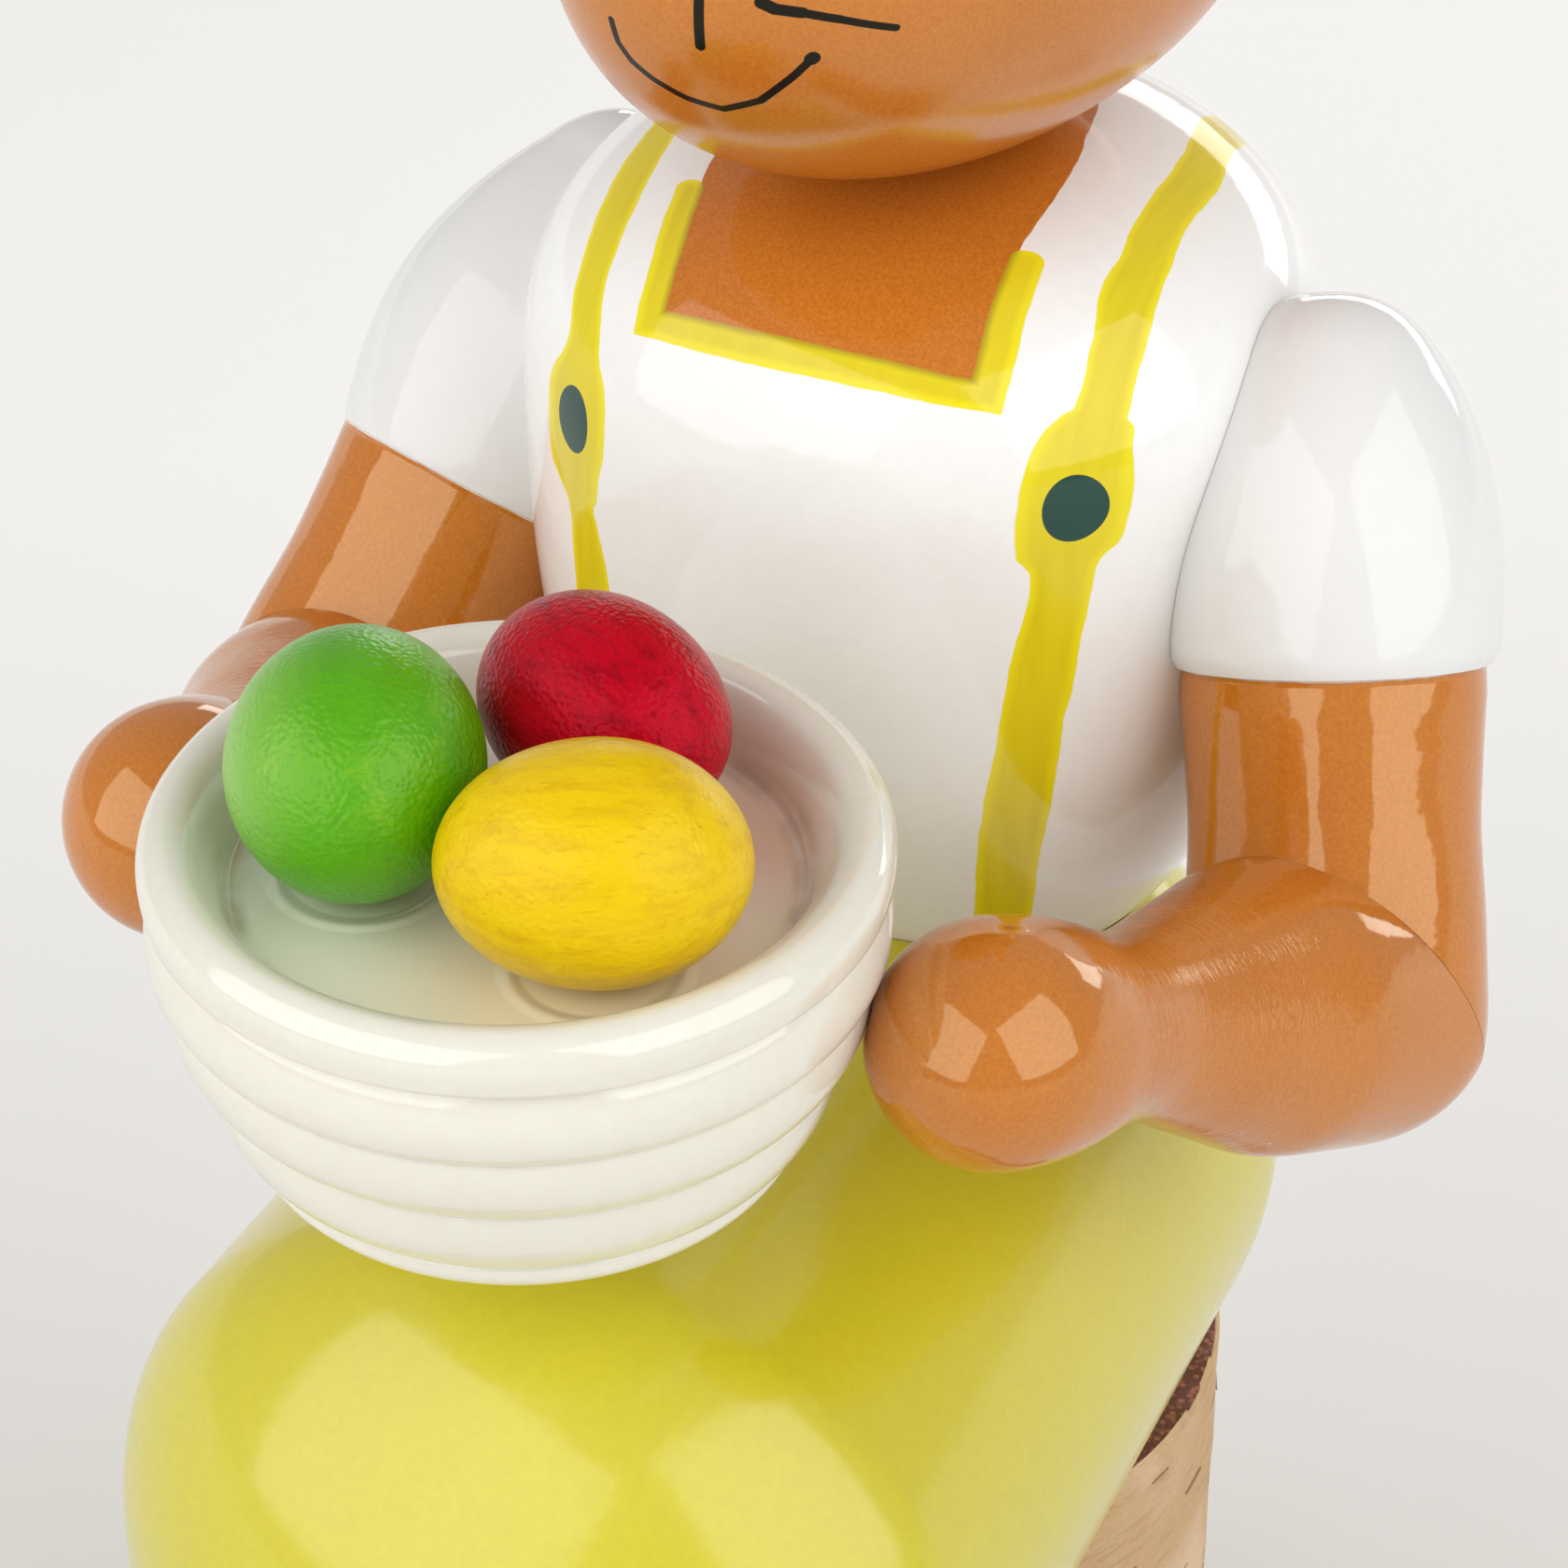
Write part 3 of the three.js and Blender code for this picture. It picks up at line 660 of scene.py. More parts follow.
# Cuts or joins a piece with other solids, which are then thrown away, and smooths the outcome
def carved(target, *cuts, smooth_angle=35):
    for operation, solid in cuts:
        tool = piece("tool", *solid, target.data.materials[0])
        modifier = target.modifiers.new("carve", "BOOLEAN")
        modifier.operation = operation
        modifier.solver = "MANIFOLD"
        modifier.object = tool
        settled(target)
        bpy.data.objects.remove(tool)
    target.data.shade_smooth()
    target.data.set_sharp_from_angle(angle=math.radians(smooth_angle))


lime_material, tree, shader = lacquer("lime_lacquer", LIME, LIME_DEEP, shine=0.6, roughness=0.15,
                                      speckle_size=1.2)[:3]
shader.inputs["Coat Weight"].default_value = 0.6
shader.inputs["Coat Roughness"].default_value = 0.42
# Room for the log below its end, and all that is above that end
far = 200
wide = LOG_RADIUS + SEAM
log_points, log_faces = turned([(0, -far), (wide, -far), (wide, SEAM), (0, SEAM)], 220)
log_end = Matrix.Translation((LOG_MIDDLE.x, LOG_MIDDLE.y, LOG_HIGH.z))
log_space = (moved(log_points, log_end), log_faces)
above_log = block((-far, -far, LOG_HIGH.z + SEAM), (far, far, far + 100))
lap_points, lap_faces = lap_mesh()
hanging_points, hanging_faces = hanging_mesh()
hanging = piece("hanging", seated(hanging_points), hanging_faces, lime_material)
carved(hanging, ("DIFFERENCE", log_space))
hanging_solid = ([Vector(vertex.co) / MM for vertex in hanging.data.vertices],
                 [tuple(face.vertices) for face in hanging.data.polygons])
bpy.data.objects.remove(hanging)
skirt = piece("lime_skirt", seated(lap_points), lap_faces, lime_material)
carved(skirt, ("INTERSECT", above_log), ("UNION", hanging_solid), ("DIFFERENCE", body_solid(SEAM)))
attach(skirt, "root")
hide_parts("skirt")


# Body: one turned egg of wood, blunt end up, set in the skirt's socket. It is lacquered white
# as a blouse, then the neckline, its yellow edging, the braces and their buttons are brushed on.
BLOUSE_WHITE = srgb(241, 241, 239)
BLOUSE_SHADE = srgb(237, 237, 235)
BRACE_YELLOW = srgb(224, 206, 34)
BRACE_EDGE = srgb(234, 220, 26)
BRACE_DEEP = srgb(217, 199, 24)
BUTTON_GREEN = srgb(32, 70, 60)
OLIVE = srgb(160, 132, 32)
# The painted lines are given along the body's girth from the top, the front negative, and
# across the body, in millimetres: first the neckline's two sides, then its front and back ends
NECK_LEFT = [(-27, -10.4), (-20, -11.1), (-14, -12.0), (-9, -12.4), (12, -11)]
NECK_RIGHT = [(-27, 13.0), (-22, 12.7), (-15, 12.1), (-6, 12.1), (1, 11.4), (12, 9)]
NECK_FRONT = -25.7
NECK_BACK = 11
# The yellow edging's half width, how far outside the neckline its middle runs, and its upper end
EDGING_HALF = 1.15
EDGING_OUTSIDE = 0.75
EDGING_TOP = -14.2
# The middle line and the half width of each brace, which widens round its button
LEFT_BRACE = [(-90, 13.6), (-80, 15.1), (-68.5, 16.7), (-58.7, 17.85), (-48.5, 18.9), (-43, 19.5),
              (-36, 19.8), (-29, 20.0), (-26, 20.5), (-19.4, 20.2), (-14, 19.75), (-9, 19.5), (-3, 19.1),
              (4, 19.0), (17, 17.2), (50, 15.5), (90, 12)]
LEFT_HALF = [(-90, 2.0), (-80, 2.0), (-68.5, 2.15), (-58.7, 2.05), (-48.5, 1.9), (-43.2, 1.75), (-40, 2.7),
             (-36, 3.15), (-32, 3.0), (-29, 2.55), (-26.6, 1.95), (-25.8, 1.45), (-19.4, 1.6), (-14, 1.75),
             (-9, 1.6), (4, 1.6), (17, 1.6), (90, 1.7)]
RIGHT_BRACE = [(-90, 13.0), (-80, 14.0), (-60, 15.0), (-50, 15.3), (-45.3, 16.0), (-43, 17.0),
               (-36.5, 16.85), (-29, 16.8), (-25.7, 17.35), (-21, 17.75), (-15.5, 18.15), (-10.4, 18.4),
               (-5, 18.4), (4, 18.3), (17, 17.2), (50, 15.5), (90, 12)]
RIGHT_HALF = [(-90, 2.0), (-60, 1.95), (-50, 1.95), (-45.6, 1.7), (-43, 2.65), (-40, 3.0), (-36.5, 3.35),
              (-32.7, 2.9), (-29, 1.65), (-25.7, 1.55), (-15.5, 1.7), (-10.4, 1.6), (-5, 1.45), (17, 1.6),
              (90, 1.7)]
# Each button: its middle, half width and half height
BUTTONS = [(20.0, -35.4, 1.84, 3.4), (-17.0, -36.6, 1.7, 3.1)]


# How far along a line each of its points lies
def distances(points):
    lengths = [0]
    for first, second in zip(points, points[1:]):
        lengths.append(lengths[-1] + (second - first).length)
    return lengths


# A value from a list, at a position that may lie between two of them
def looked_up(values, position):
    whole = min(int(position), len(values) - 2)
    return mixed(values[whole], values[whole + 1], position - whole)


# Lays two coordinates on the body, in millimetres: across it, and along its girth from the
# top, the front negative
def lay_girth(target):
    profile = []
    for number in range(-900, 901):
        angle = math.radians(number / 10)
        tall = BODY_ABOVE if number > 0 else BODY_BELOW
        size = ((abs(math.cos(angle)) / BODY_RADIUS) ** BODY_SQUARENESS
                + (abs(math.sin(angle)) / tall) ** BODY_SQUARENESS) ** (-1 / BODY_SQUARENESS)
        profile.append(Vector((size * math.cos(angle), size * math.sin(angle))))
    lengths = distances(profile)
    layer = target.data.uv_layers.new(name="girth")
    middle = SEAT + Vector((0, BODY_Y, BODY_WIDEST))
    for loop in target.data.loops:
        place = target.data.vertices[loop.vertex_index].co / MM - middle
        angle = math.degrees(math.atan2(place.z, abs(place.y)))
        along = lengths[-1] - looked_up(lengths, (angle + 90) * 10)
        layer.data[loop.index].uv = (place.x, -along if place.y < 0 else along)


# A value that follows a drawn curve along the girth
def drawn(tree, along, points, low, high):
    share = node(tree, "ShaderNodeMapRange", {"Value": along, "From Min": -90.0, "From Max": 90.0}).outputs[0]
    curve = node(tree, "ShaderNodeFloatCurve", {"Value": share})
    line = curve.mapping.curves[0]
    while len(line.points) < len(points):
        line.points.new(0.5, 0.5)
    for point, (at, value) in zip(line.points, points):
        point.location = ((at + 90) / 180, (value - low) / (high - low))
    curve.mapping.update()
    return calc(tree, "MULTIPLY_ADD", curve.outputs[0], high - low, low)


blouse_material, tree, shader, white = lacquer("painted_blouse", BLOUSE_WHITE, BLOUSE_SHADE, shine=0.4,
                                               speckle_size=0.8)
place = coordinates(tree)
girth = split(tree, node(tree, "ShaderNodeUVMap", {}, uv_map="girth").outputs[0])
# The brush wavered a little
waver = calc(tree, "MULTIPLY_ADD", noise(tree, place, 0.22, detail=2), 0.6, -0.3)
across = calc(tree, "ADD", girth["X"], waver)
along = calc(tree, "ADD", girth["Y"], calc(tree, "MULTIPLY", waver, 0.8))
bristles = noise(tree, coordinates(tree, stretch=(1, 12, 12)), 1.1, detail=2)
flecks = step(tree, noise(tree, place, 4, detail=3, roughness=0.7), 0.35, 0.65)
skin = blended(tree, calc(tree, "MULTIPLY", flecks, 0.7), LACQUER_BROWN, LACQUER_DARK)
neck_sides = calc(tree, "MAXIMUM",
                  calc(tree, "SUBTRACT", drawn(tree, along, NECK_LEFT, -30, 30), across),
                  calc(tree, "SUBTRACT", across, drawn(tree, along, NECK_RIGHT, -30, 30)))
neck_front = calc(tree, "SUBTRACT", NECK_FRONT, along)
neck_back = calc(tree, "SUBTRACT", along, NECK_BACK)
# How far a place lies outside the neckline, in millimetres, and negative within it
out_of_neck = calc(tree, "MAXIMUM", calc(tree, "MAXIMUM", neck_sides, neck_front), neck_back)
in_neck = step(tree, out_of_neck, 0.05, -0.05)
paint = blended(tree, in_neck, white, skin)
# The edging follows the neckline up to its rounded upper ends
past_top = calc(tree, "MAXIMUM", calc(tree, "SUBTRACT", along, EDGING_TOP), 0)
edging_off = calc(tree, "SUBTRACT", calc(tree, "MAXIMUM", neck_sides, neck_front), EDGING_OUTSIDE)
edging = calc(tree, "SQRT", calc(tree, "ADD", calc(tree, "POWER", edging_off, 2),
                                 calc(tree, "POWER", past_top, 2)))
in_edging = step(tree, edging, EDGING_HALF + 0.05, EDGING_HALF - 0.05)
braces = []
for sign, centre_line, half_line in ((1, LEFT_BRACE, LEFT_HALF), (-1, RIGHT_BRACE, RIGHT_HALF)):
    centre = calc(tree, "MULTIPLY", drawn(tree, along, centre_line, 0, 30), sign)
    half = drawn(tree, along, half_line, 0, 6)
    off = calc(tree, "DIVIDE", calc(tree, "ABSOLUTE", calc(tree, "SUBTRACT", across, centre)), half)
    braces.append(off)
brace_off = calc(tree, "MINIMUM", *braces)
in_brace = step(tree, brace_off, 1.02, 0.98)
# The yellow stands brighter at the edges of a stroke, and olive where it lies over the brown
strokes = calc(tree, "MAXIMUM", in_brace, in_edging)
wet_edge = calc(tree, "MAXIMUM", calc(tree, "MULTIPLY", step(tree, brace_off, 0.62, 0.95), in_brace),
                calc(tree, "MULTIPLY", step(tree, edging, 0.3, 0.9), in_edging))
yellow = blended(tree, step(tree, bristles, 0.3, 0.75), BRACE_YELLOW, BRACE_DEEP)
yellow = blended(tree, wet_edge, yellow, BRACE_EDGE)
yellow = blended(tree, calc(tree, "MULTIPLY", step(tree, out_of_neck, 0.35, -0.4), 0.8), yellow, OLIVE)
paint = blended(tree, strokes, paint, yellow)
buttons = []
for x, y, half_width, half_height in BUTTONS:
    to_x = calc(tree, "DIVIDE", calc(tree, "SUBTRACT", girth["X"], x), half_width)
    to_y = calc(tree, "DIVIDE", calc(tree, "SUBTRACT", girth["Y"], y), half_height)
    buttons.append(calc(tree, "ADD", calc(tree, "POWER", to_x, 2), calc(tree, "POWER", to_y, 2)))
in_button = step(tree, calc(tree, "MINIMUM", *buttons), 1.03, 0.97)
paint = blended(tree, in_button, paint, BUTTON_GREEN)
tree.links.new(paint, shader.inputs["Base Color"])
body = piece("turned_body", *body_solid(0), blouse_material)
lay_girth(body)
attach(body, "root")
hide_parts("torso")


# Arms: each is two turned pieces, mitred and glued at the elbow. The short puffed sleeve is
# turned on the upper arm and dipped white, the rest is brown. The hand grips the bowl's side.
ELBOW_RADIUS = 10.86
ELBOW_SQUARENESS = 2.6
SLEEVE_SQUARENESS = 2.4
SLEEVE_WHITE = srgb(228, 228, 227)
SLEEVE_SHADE = srgb(224, 224, 223)
ARM_SIDES = 128
# Radius and distance from the elbow. Up to the mitre's inner corner both parts are the same,
# so that their mitred faces match. The forearm is thinnest at the wrist.
UPPER_ARM = [(10.75, 6), (10.45, 12.1), (10.6, 17), (10.9, 22)]
FOREARM = [(10.75, 6), (10.45, 12.1), (9.3, 17), (8.1, 22), (7.1, 26), (6.45, 30), (6.45, 33), (6.9, 36)]
HAND = {"radius": 8.3, "back": 18, "front": 9}
MITRE_SEAM = 0.03
# The elbow and the hand's middle from the seat, the way the upper arm points, where the sleeve
# starts and ends from the elbow, its radius at the edge, and how far it swells
ARMS = {
    "left": {"elbow": (40.3, -17.9, 47.9), "up": (-0.206, 0.402, 0.892), "hand": (29.7, -58.2, 69),
             "start": 24.6, "end": 50.4, "radius": 11.8, "puff": 0.7},
    "right": {"elbow": (-40.6, -17.5, 47.7), "up": (0.242, 0.594, 0.767), "hand": (-29.75, -58, 69.3),
              "start": 22.5, "end": 53.3, "radius": 11.2, "puff": 1.9},
}
# The middle of the bowl's rim from the seat, its foot, and the grooves between its rings from
# the foot up, as radius and height below the rim
BOWL_MIDDLE = Vector((0, -66.3, 81.15))
BOWL_RIM_RADIUS = 24.1
BOWL_FOOT_RADIUS = 16.4
BOWL_FOOT_ROUND = 1.1
BOWL_FOOT = -22.75
BOWL_GROOVES = [(18.3, -19.3), (20.9, -13.1), (22.8, -7.4), (23.2, -1.9)]


def elbow_outline(steps=24):
    outline = [(0, -ELBOW_RADIUS)]
    for number in range(1, steps + 1):
        across, along = squared(math.pi / 2 * (number / steps - 1), ELBOW_SQUARENESS)
        outline.append((ELBOW_RADIUS * across, ELBOW_RADIUS * along))
    return outline


# A smooth curve through points, with more points between them
def smoothed(points, steps):
    result = []
    padded = [points[0], *points, points[-1]]
    for before, start, end, after in zip(padded, padded[1:], padded[2:], padded[3:]):
        for number in range(steps):
            t = number / steps
            place = []
            for a, b, c, d in zip(before, start, end, after):
                square = (2 * a - 5 * b + 4 * c - d) * t ** 2
                cube = (3 * b - a - 3 * c + d) * t ** 3
                place.append(0.5 * (2 * b + (c - a) * t + square + cube))
            result.append(tuple(place))
    result.append(points[-1])
    return result


def upper_arm_outline(arm):
    start, end = arm["start"], arm["end"]
    outline = elbow_outline() + smoothed([(ELBOW_RADIUS, 0), *UPPER_ARM], 5)[1:]
    # The edge of the sleeve stands out a little from the arm
    lip = arm["radius"] - ELBOW_RADIUS
    if start - 0.55 > UPPER_ARM[-1][1]:
        outline += [(ELBOW_RADIUS, start - 0.55)]
    outline += [(ELBOW_RADIUS + lip * 0.1, start - 0.5)]
    rows = 56
    for row in range(rows + 1):
        share = math.sin(row / rows * math.pi / 2)
        puff = arm["puff"] * math.sin(math.pi * min(share * 1.2, 1))
        radius = (arm["radius"] + puff) * rounded(share, SLEEVE_SQUARENESS)
        turn_in = lip * 0.45 * math.exp(-share * (end - start) / 0.45)
        outline.append((0 if row == rows else radius - turn_in, mixed(start, end, share) - 0.4 * (1 - share)))
    return outline


def forearm_outline(length):
    hand = []
    rows = 44
    for row in range(rows + 1):
        angle = mixed(-0.45, math.pi / 2, row / rows)
        along = HAND["back"] if angle < 0 else HAND["front"]
        radius = 0 if row == rows else HAND["radius"] * math.cos(angle)
        hand.append((radius, length + along * math.sin(angle)))
    return elbow_outline() + smoothed([(ELBOW_RADIUS, 0), *FOREARM, hand[0]], 6)[1:] + hand[1:]


# Stands a form that rises along Z on a place and turns it to a direction
def aimed(points, faces, place, direction):
    turn = Vector((0, 0, 1)).rotation_difference(direction).to_matrix().to_4x4()
    return seated(moved(points, Matrix.Translation(place) @ turn)), faces


def half_space(place, normal):
    return aimed(*block((-80, -80, 0), (80, 80, 160)), place, normal)


# The outside of the bowl up to its rim: each ring bulges most a little below its middle
def bowl_outline(grown, rows=16):
    flat_radius = BOWL_FOOT_RADIUS - BOWL_FOOT_ROUND + grown
    outline = [(0, BOWL_FOOT), (flat_radius, BOWL_FOOT)]
    outline += arc((flat_radius, BOWL_FOOT + BOWL_FOOT_ROUND), BOWL_FOOT_ROUND, -80, -10, 7)
    last = outline[-1]
    for radius, height in BOWL_GROOVES:
        for row in range(1, rows + 1):
            share = row / rows
            swell = math.sin(math.pi * share ** 0.75) ** 0.75 if row < rows else 0
            outline.append((mixed(last[0], radius + grown, share) + swell, mixed(last[1], height, share)))
        last = outline[-1]
    return outline


# Coordinates in millimetres from the elbow, with Z along the piece's own axis
def from_elbow(tree, elbow, direction, stretch=(1, 1, 1)):
    turn = Vector((0, 0, 1)).rotation_difference(direction).to_euler()
    return coordinates(tree, place=(elbow + SEAT) * MM, turn=turn, stretch=stretch)


# Room for the bowl between the hands
wide = BOWL_RIM_RADIUS + SEAM
bowl_space = turned(bowl_outline(SEAM) + [(wide, -1.2), (wide, 1), (20, 6), (0, 6)], 192)
bowl_space = aimed(*bowl_space, BOWL_MIDDLE, Vector((0, 0, 1)))
for side_name, arm in ARMS.items():
    elbow = Vector(arm["elbow"])
    upward = Vector(arm["up"]).normalized()
    forward = Vector(arm["hand"]) - elbow
    length = forward.length
    forward.normalize()
    mitre = (upward - forward).normalized()

    material, tree, shader, brown = brown_lacquer(f"sleeve_and_arm_{side_name}")
    place = from_elbow(tree, elbow, upward)
    waver = calc(tree, "MULTIPLY_ADD", noise(tree, place, 0.25, detail=2), 0.3, -0.15)
    height = calc(tree, "ADD", split(tree, place)["Z"], waver)
    on_sleeve = step(tree, height, arm["start"] - 0.62, arm["start"] - 0.5)
    soft_white = blended(tree, noise(tree, place, 0.8), SLEEVE_WHITE, SLEEVE_SHADE)
    tree.links.new(blended(tree, on_sleeve, brown, soft_white), shader.inputs["Base Color"])
    tree.links.new(calc(tree, "MULTIPLY_ADD", on_sleeve, -0.6, 1.0), shader.inputs["Specular IOR Level"])
    tree.links.new(blended(tree, on_sleeve, BROWN_GLOSS_TINT, (1, 1, 1)), shader.inputs["Specular Tint"])
    # The white coat ends in a rounded edge
    lip = step(tree, height, arm["start"] - 1.0, arm["start"] - 0.4)
    bump(tree, shader, (lip, 0.15), (noise(tree, place, 0.3), 0.06), (noise(tree, place, 2.6), 0.002))
    upper = piece(f"upper_arm_and_sleeve_{side_name}",
                  *aimed(*turned(upper_arm_outline(arm), ARM_SIDES), elbow, upward), material)
    carved(upper, ("INTERSECT", half_space(elbow + mitre * MITRE_SEAM, mitre)),
           ("DIFFERENCE", body_solid(SEAM)))
    # Tool marks run round the forearm from below the elbow to the back of the hand
    material, tree, shader = brown_lacquer(f"forearm_{side_name}")[:3]
    place = from_elbow(tree, elbow, forward)
    height = split(tree, place)["Z"]
    near_wrist = calc(tree, "MULTIPLY", step(tree, height, 10, 22), step(tree, height, 46, 38))
    rings = noise(tree, from_elbow(tree, elbow, forward, (7, 7, 1)), 2.2, detail=3, roughness=0.7)
    bump(tree, shader, (calc(tree, "MULTIPLY", rings, near_wrist), 0.09),
         (noise(tree, place, 0.3), 0.05), (noise(tree, place, 2.6), 0.002))
    lower = piece(f"forearm_and_hand_{side_name}",
                  *aimed(*turned(forearm_outline(length), ARM_SIDES), elbow, forward), material)
    carved(lower, ("INTERSECT", half_space(elbow - mitre * MITRE_SEAM, -mitre)),
           ("DIFFERENCE", bowl_space))
    for made, node_name in ((upper, f"upper_arm_{side_name}"), (lower, f"forearm_{side_name}")):
        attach(made, "root")
        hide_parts(node_name)


# Bowl: a small wooden bowl turned with overlapping rings, a rolled rim and a shallow hollow,
# dipped in ivory lacquer and glued between the hands. Faint reflections of the eggs' colours
# are painted on its floor round them.
IVORY = srgb(228, 225, 212)
IVORY_SHADE = srgb(224, 220, 205)
IVORY_INSIDE_PAINTED_LIGHT = srgb(250, 248, 234)
IVORY_CORNER_SHADE = srgb(150, 134, 96)
# Faint painted reflections of the eggs' colours round each egg: its place on the bowl's floor, colour and
# strength
PAINTED_EGG_REFLECTIONS = [((-12.5, -1, 0), srgb(214, 224, 186), 0.5), ((9, 13, 0), srgb(216, 168, 142), 0.6),
              ((7, -9, 0), srgb(240, 224, 176), 0.5)]
GLUE_RADIUS = 5.6
GLUE_HEIGHT = 0.2
CORNER_RADIUS = 18.2
# Over the rim and down its inner side, then round the corner and across the floor
RIM_PROFILE = [(24.0, -1.2), (24.1, -0.4), (24.1, 0.5), (23.8, 1.4), (23.2, 2.05), (22.5, 2.38), (21.9, 2.4),
               (21.2, 2.15), (20.6, 1.7), (20.1, 1.05), (19.6, 0.2), (19.2, -0.7), (18.9, -1.6)]
FLOOR_PROFILE = [(18.75, -2.1), (18.45, -2.5), (17.9, -2.68), (17.2, -2.7), (9, -2.7), (0, -2.7)]
bowl_material, tree, shader, ivory = lacquer("ivory_lacquer", IVORY, IVORY_SHADE, shine=0.8, roughness=0.09,
                                             speckle_size=0.7)
place = coordinates(tree, place=(SEAT + BOWL_MIDDLE) * MM)
flat = level(tree, place)
from_middle = vector_calc(tree, "LENGTH", flat)
above_outside = step(tree, split(tree, place)["Z"], -3.6, -3.2)
inside = calc(tree, "MULTIPLY", step(tree, from_middle, 21, 18.5), above_outside)
# The hollow is painted paler than the outside, as painted light on its walls and floor
ivory = blended(tree, inside, ivory, IVORY_INSIDE_PAINTED_LIGHT)
# Painted reflections of the eggs' colours on the floor round each egg
for spot, reflected_tint, strength in PAINTED_EGG_REFLECTIONS:
    near = calc(tree, "MULTIPLY", step(tree, vector_calc(tree, "DISTANCE", flat, spot), 16, 4), inside)
    ivory = blended(tree, calc(tree, "MULTIPLY", near, strength), ivory, reflected_tint)
# A clear ring of glue round each egg's foot
glue_edges = []
for node_name in ("egg_green", "egg_red", "egg_yellow"):
    low, high = box_corners(node_name)
    foot = (low + high) / 2 - SEAT - BOWL_MIDDLE
    off = vector_calc(tree, "DISTANCE", flat, (foot.x, foot.y, 0))
    glue_edges.append(calc(tree, "ABSOLUTE", calc(tree, "SUBTRACT", off, GLUE_RADIUS)))
glue_edge = calc(tree, "MINIMUM", calc(tree, "MINIMUM", *glue_edges[:2]), glue_edges[2])
glue = calc(tree, "MULTIPLY", step(tree, glue_edge, 0.9, 0.0), inside)
bump(tree, shader, (glue, GLUE_HEIGHT), (noise(tree, place, 0.34), 0.03), (noise(tree, place, 0.7), 0.002))
# Painted shade in the corner round the floor, in patches
off_corner = calc(tree, "ABSOLUTE", calc(tree, "SUBTRACT", from_middle, CORNER_RADIUS))
patchy = step(tree, noise(tree, place, 0.16, detail=3), 0.35, 0.7)
corner_shade = calc(tree, "MULTIPLY", calc(tree, "MULTIPLY", step(tree, off_corner, 1.1, 0.2), patchy), 0.5)
corner_shade = calc(tree, "MULTIPLY", corner_shade, inside)
tree.links.new(blended(tree, corner_shade, ivory, IVORY_CORNER_SHADE), shader.inputs["Base Color"])
outline = bowl_outline(0) + smoothed(RIM_PROFILE, 3) + FLOOR_PROFILE
bowl = piece("ringed_bowl", *aimed(*turned(outline, 192), BOWL_MIDDLE, Vector((0, 0, 1))), bowl_material,
             smooth_angle=48)
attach(bowl, "root")
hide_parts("bowl")


# Eggs: three small turned wooden eggs, dyed green, red and yellow and waxed, so the grain
# still shows. Each is held on the bowl's floor by a drop of glue.
EGG_BLUNT = 0.48
# Each egg's length and the way it points, its dye, the darker grain and the rubbed places, how
# strongly the grain shows, how deep the pebbled skin of the wax is, its gloss, and how strong a
# pale painted highlight is on the side turned away from the others. Only the green egg has one.
EGGS = {
    "green": {"length": 19.8, "heading": 24, "dye": srgb(80, 163, 2), "deep": srgb(66, 142, 2),
              "rubbed": srgb(120, 178, 16), "grain": 0.3, "pebbles": 0.1, "shine": 0.6,
              "gloss_tint": (1, 1, 0.5), "bare": 0.5},
    "red": {"length": 18.8, "heading": -113, "dye": srgb(182, 0, 26), "deep": srgb(116, 0, 20),
            "rubbed": srgb(194, 8, 40), "grain": 0.6, "pebbles": 0.1, "shine": 0.35,
            "gloss_tint": (1, 0.2, 0.3), "bare": 0},
    "yellow": {"length": 19.8, "heading": 114, "dye": srgb(228, 192, 0), "deep": srgb(190, 136, 0),
               "rubbed": srgb(236, 206, 20), "grain": 0.35, "pebbles": 0.06, "shine": 0.35,
               "gloss_tint": (1, 0.95, 0.5), "bare": 0},
}
HIGHLIGHT_SIDE = (-0.88, -0.42, 0.2)
PAINTED_HIGHLIGHT_COLOUR = srgb(176, 214, 116)


def dyed_wood(name, egg, turn, middle):
    material, tree, shader = new_material(name)
    place = coordinates(tree, place=middle * MM, turn=turn)
    long_place = coordinates(tree, place=middle * MM, turn=turn, stretch=(1, 7, 1))
    growth = noise(tree, long_place, 0.9, detail=4, roughness=0.6, distortion=0.3)
    pores = noise(tree, coordinates(tree, place=middle * MM, turn=turn, stretch=(1, 9, 1)), 5, detail=3)
    colour = egg["dye"]
    for grain in (step(tree, growth, 0.42, 0.72), step(tree, pores, 0.58, 0.72)):
        colour = blended(tree, calc(tree, "MULTIPLY", grain, egg["grain"]), colour, egg["deep"])
    rubs = step(tree, noise(tree, place, 0.16, detail=6, roughness=0.75), 0.54, 0.68)
    colour = blended(tree, calc(tree, "MULTIPLY", rubs, 0.6), colour, egg["rubbed"])
    # A pale painted highlight over the dye on the side turned away from the others
    to_side = vector_calc(tree, "DOT_PRODUCT", coordinates(tree, place=middle * MM), HIGHLIGHT_SIDE)
    bare = calc(tree, "MULTIPLY", step(tree, to_side, 2.5, 10), egg["bare"])
    tree.links.new(blended(tree, bare, colour, PAINTED_HIGHLIGHT_COLOUR), shader.inputs["Base Color"])
    tree.links.new(calc(tree, "MULTIPLY_ADD", rubs, 0.08, 0.3), shader.inputs["Roughness"])
    shader.inputs["Specular IOR Level"].default_value = egg["shine"]
    shader.inputs["Specular Tint"].default_value = (*egg["gloss_tint"], 1)
    pebble = node(tree, "ShaderNodeTexVoronoi", {"Vector": place, "Scale": 2.6},
                  feature="SMOOTH_F1").outputs["Distance"]
    bump(tree, shader, (pebble, egg["pebbles"]), (pores, 0.02))
    return material


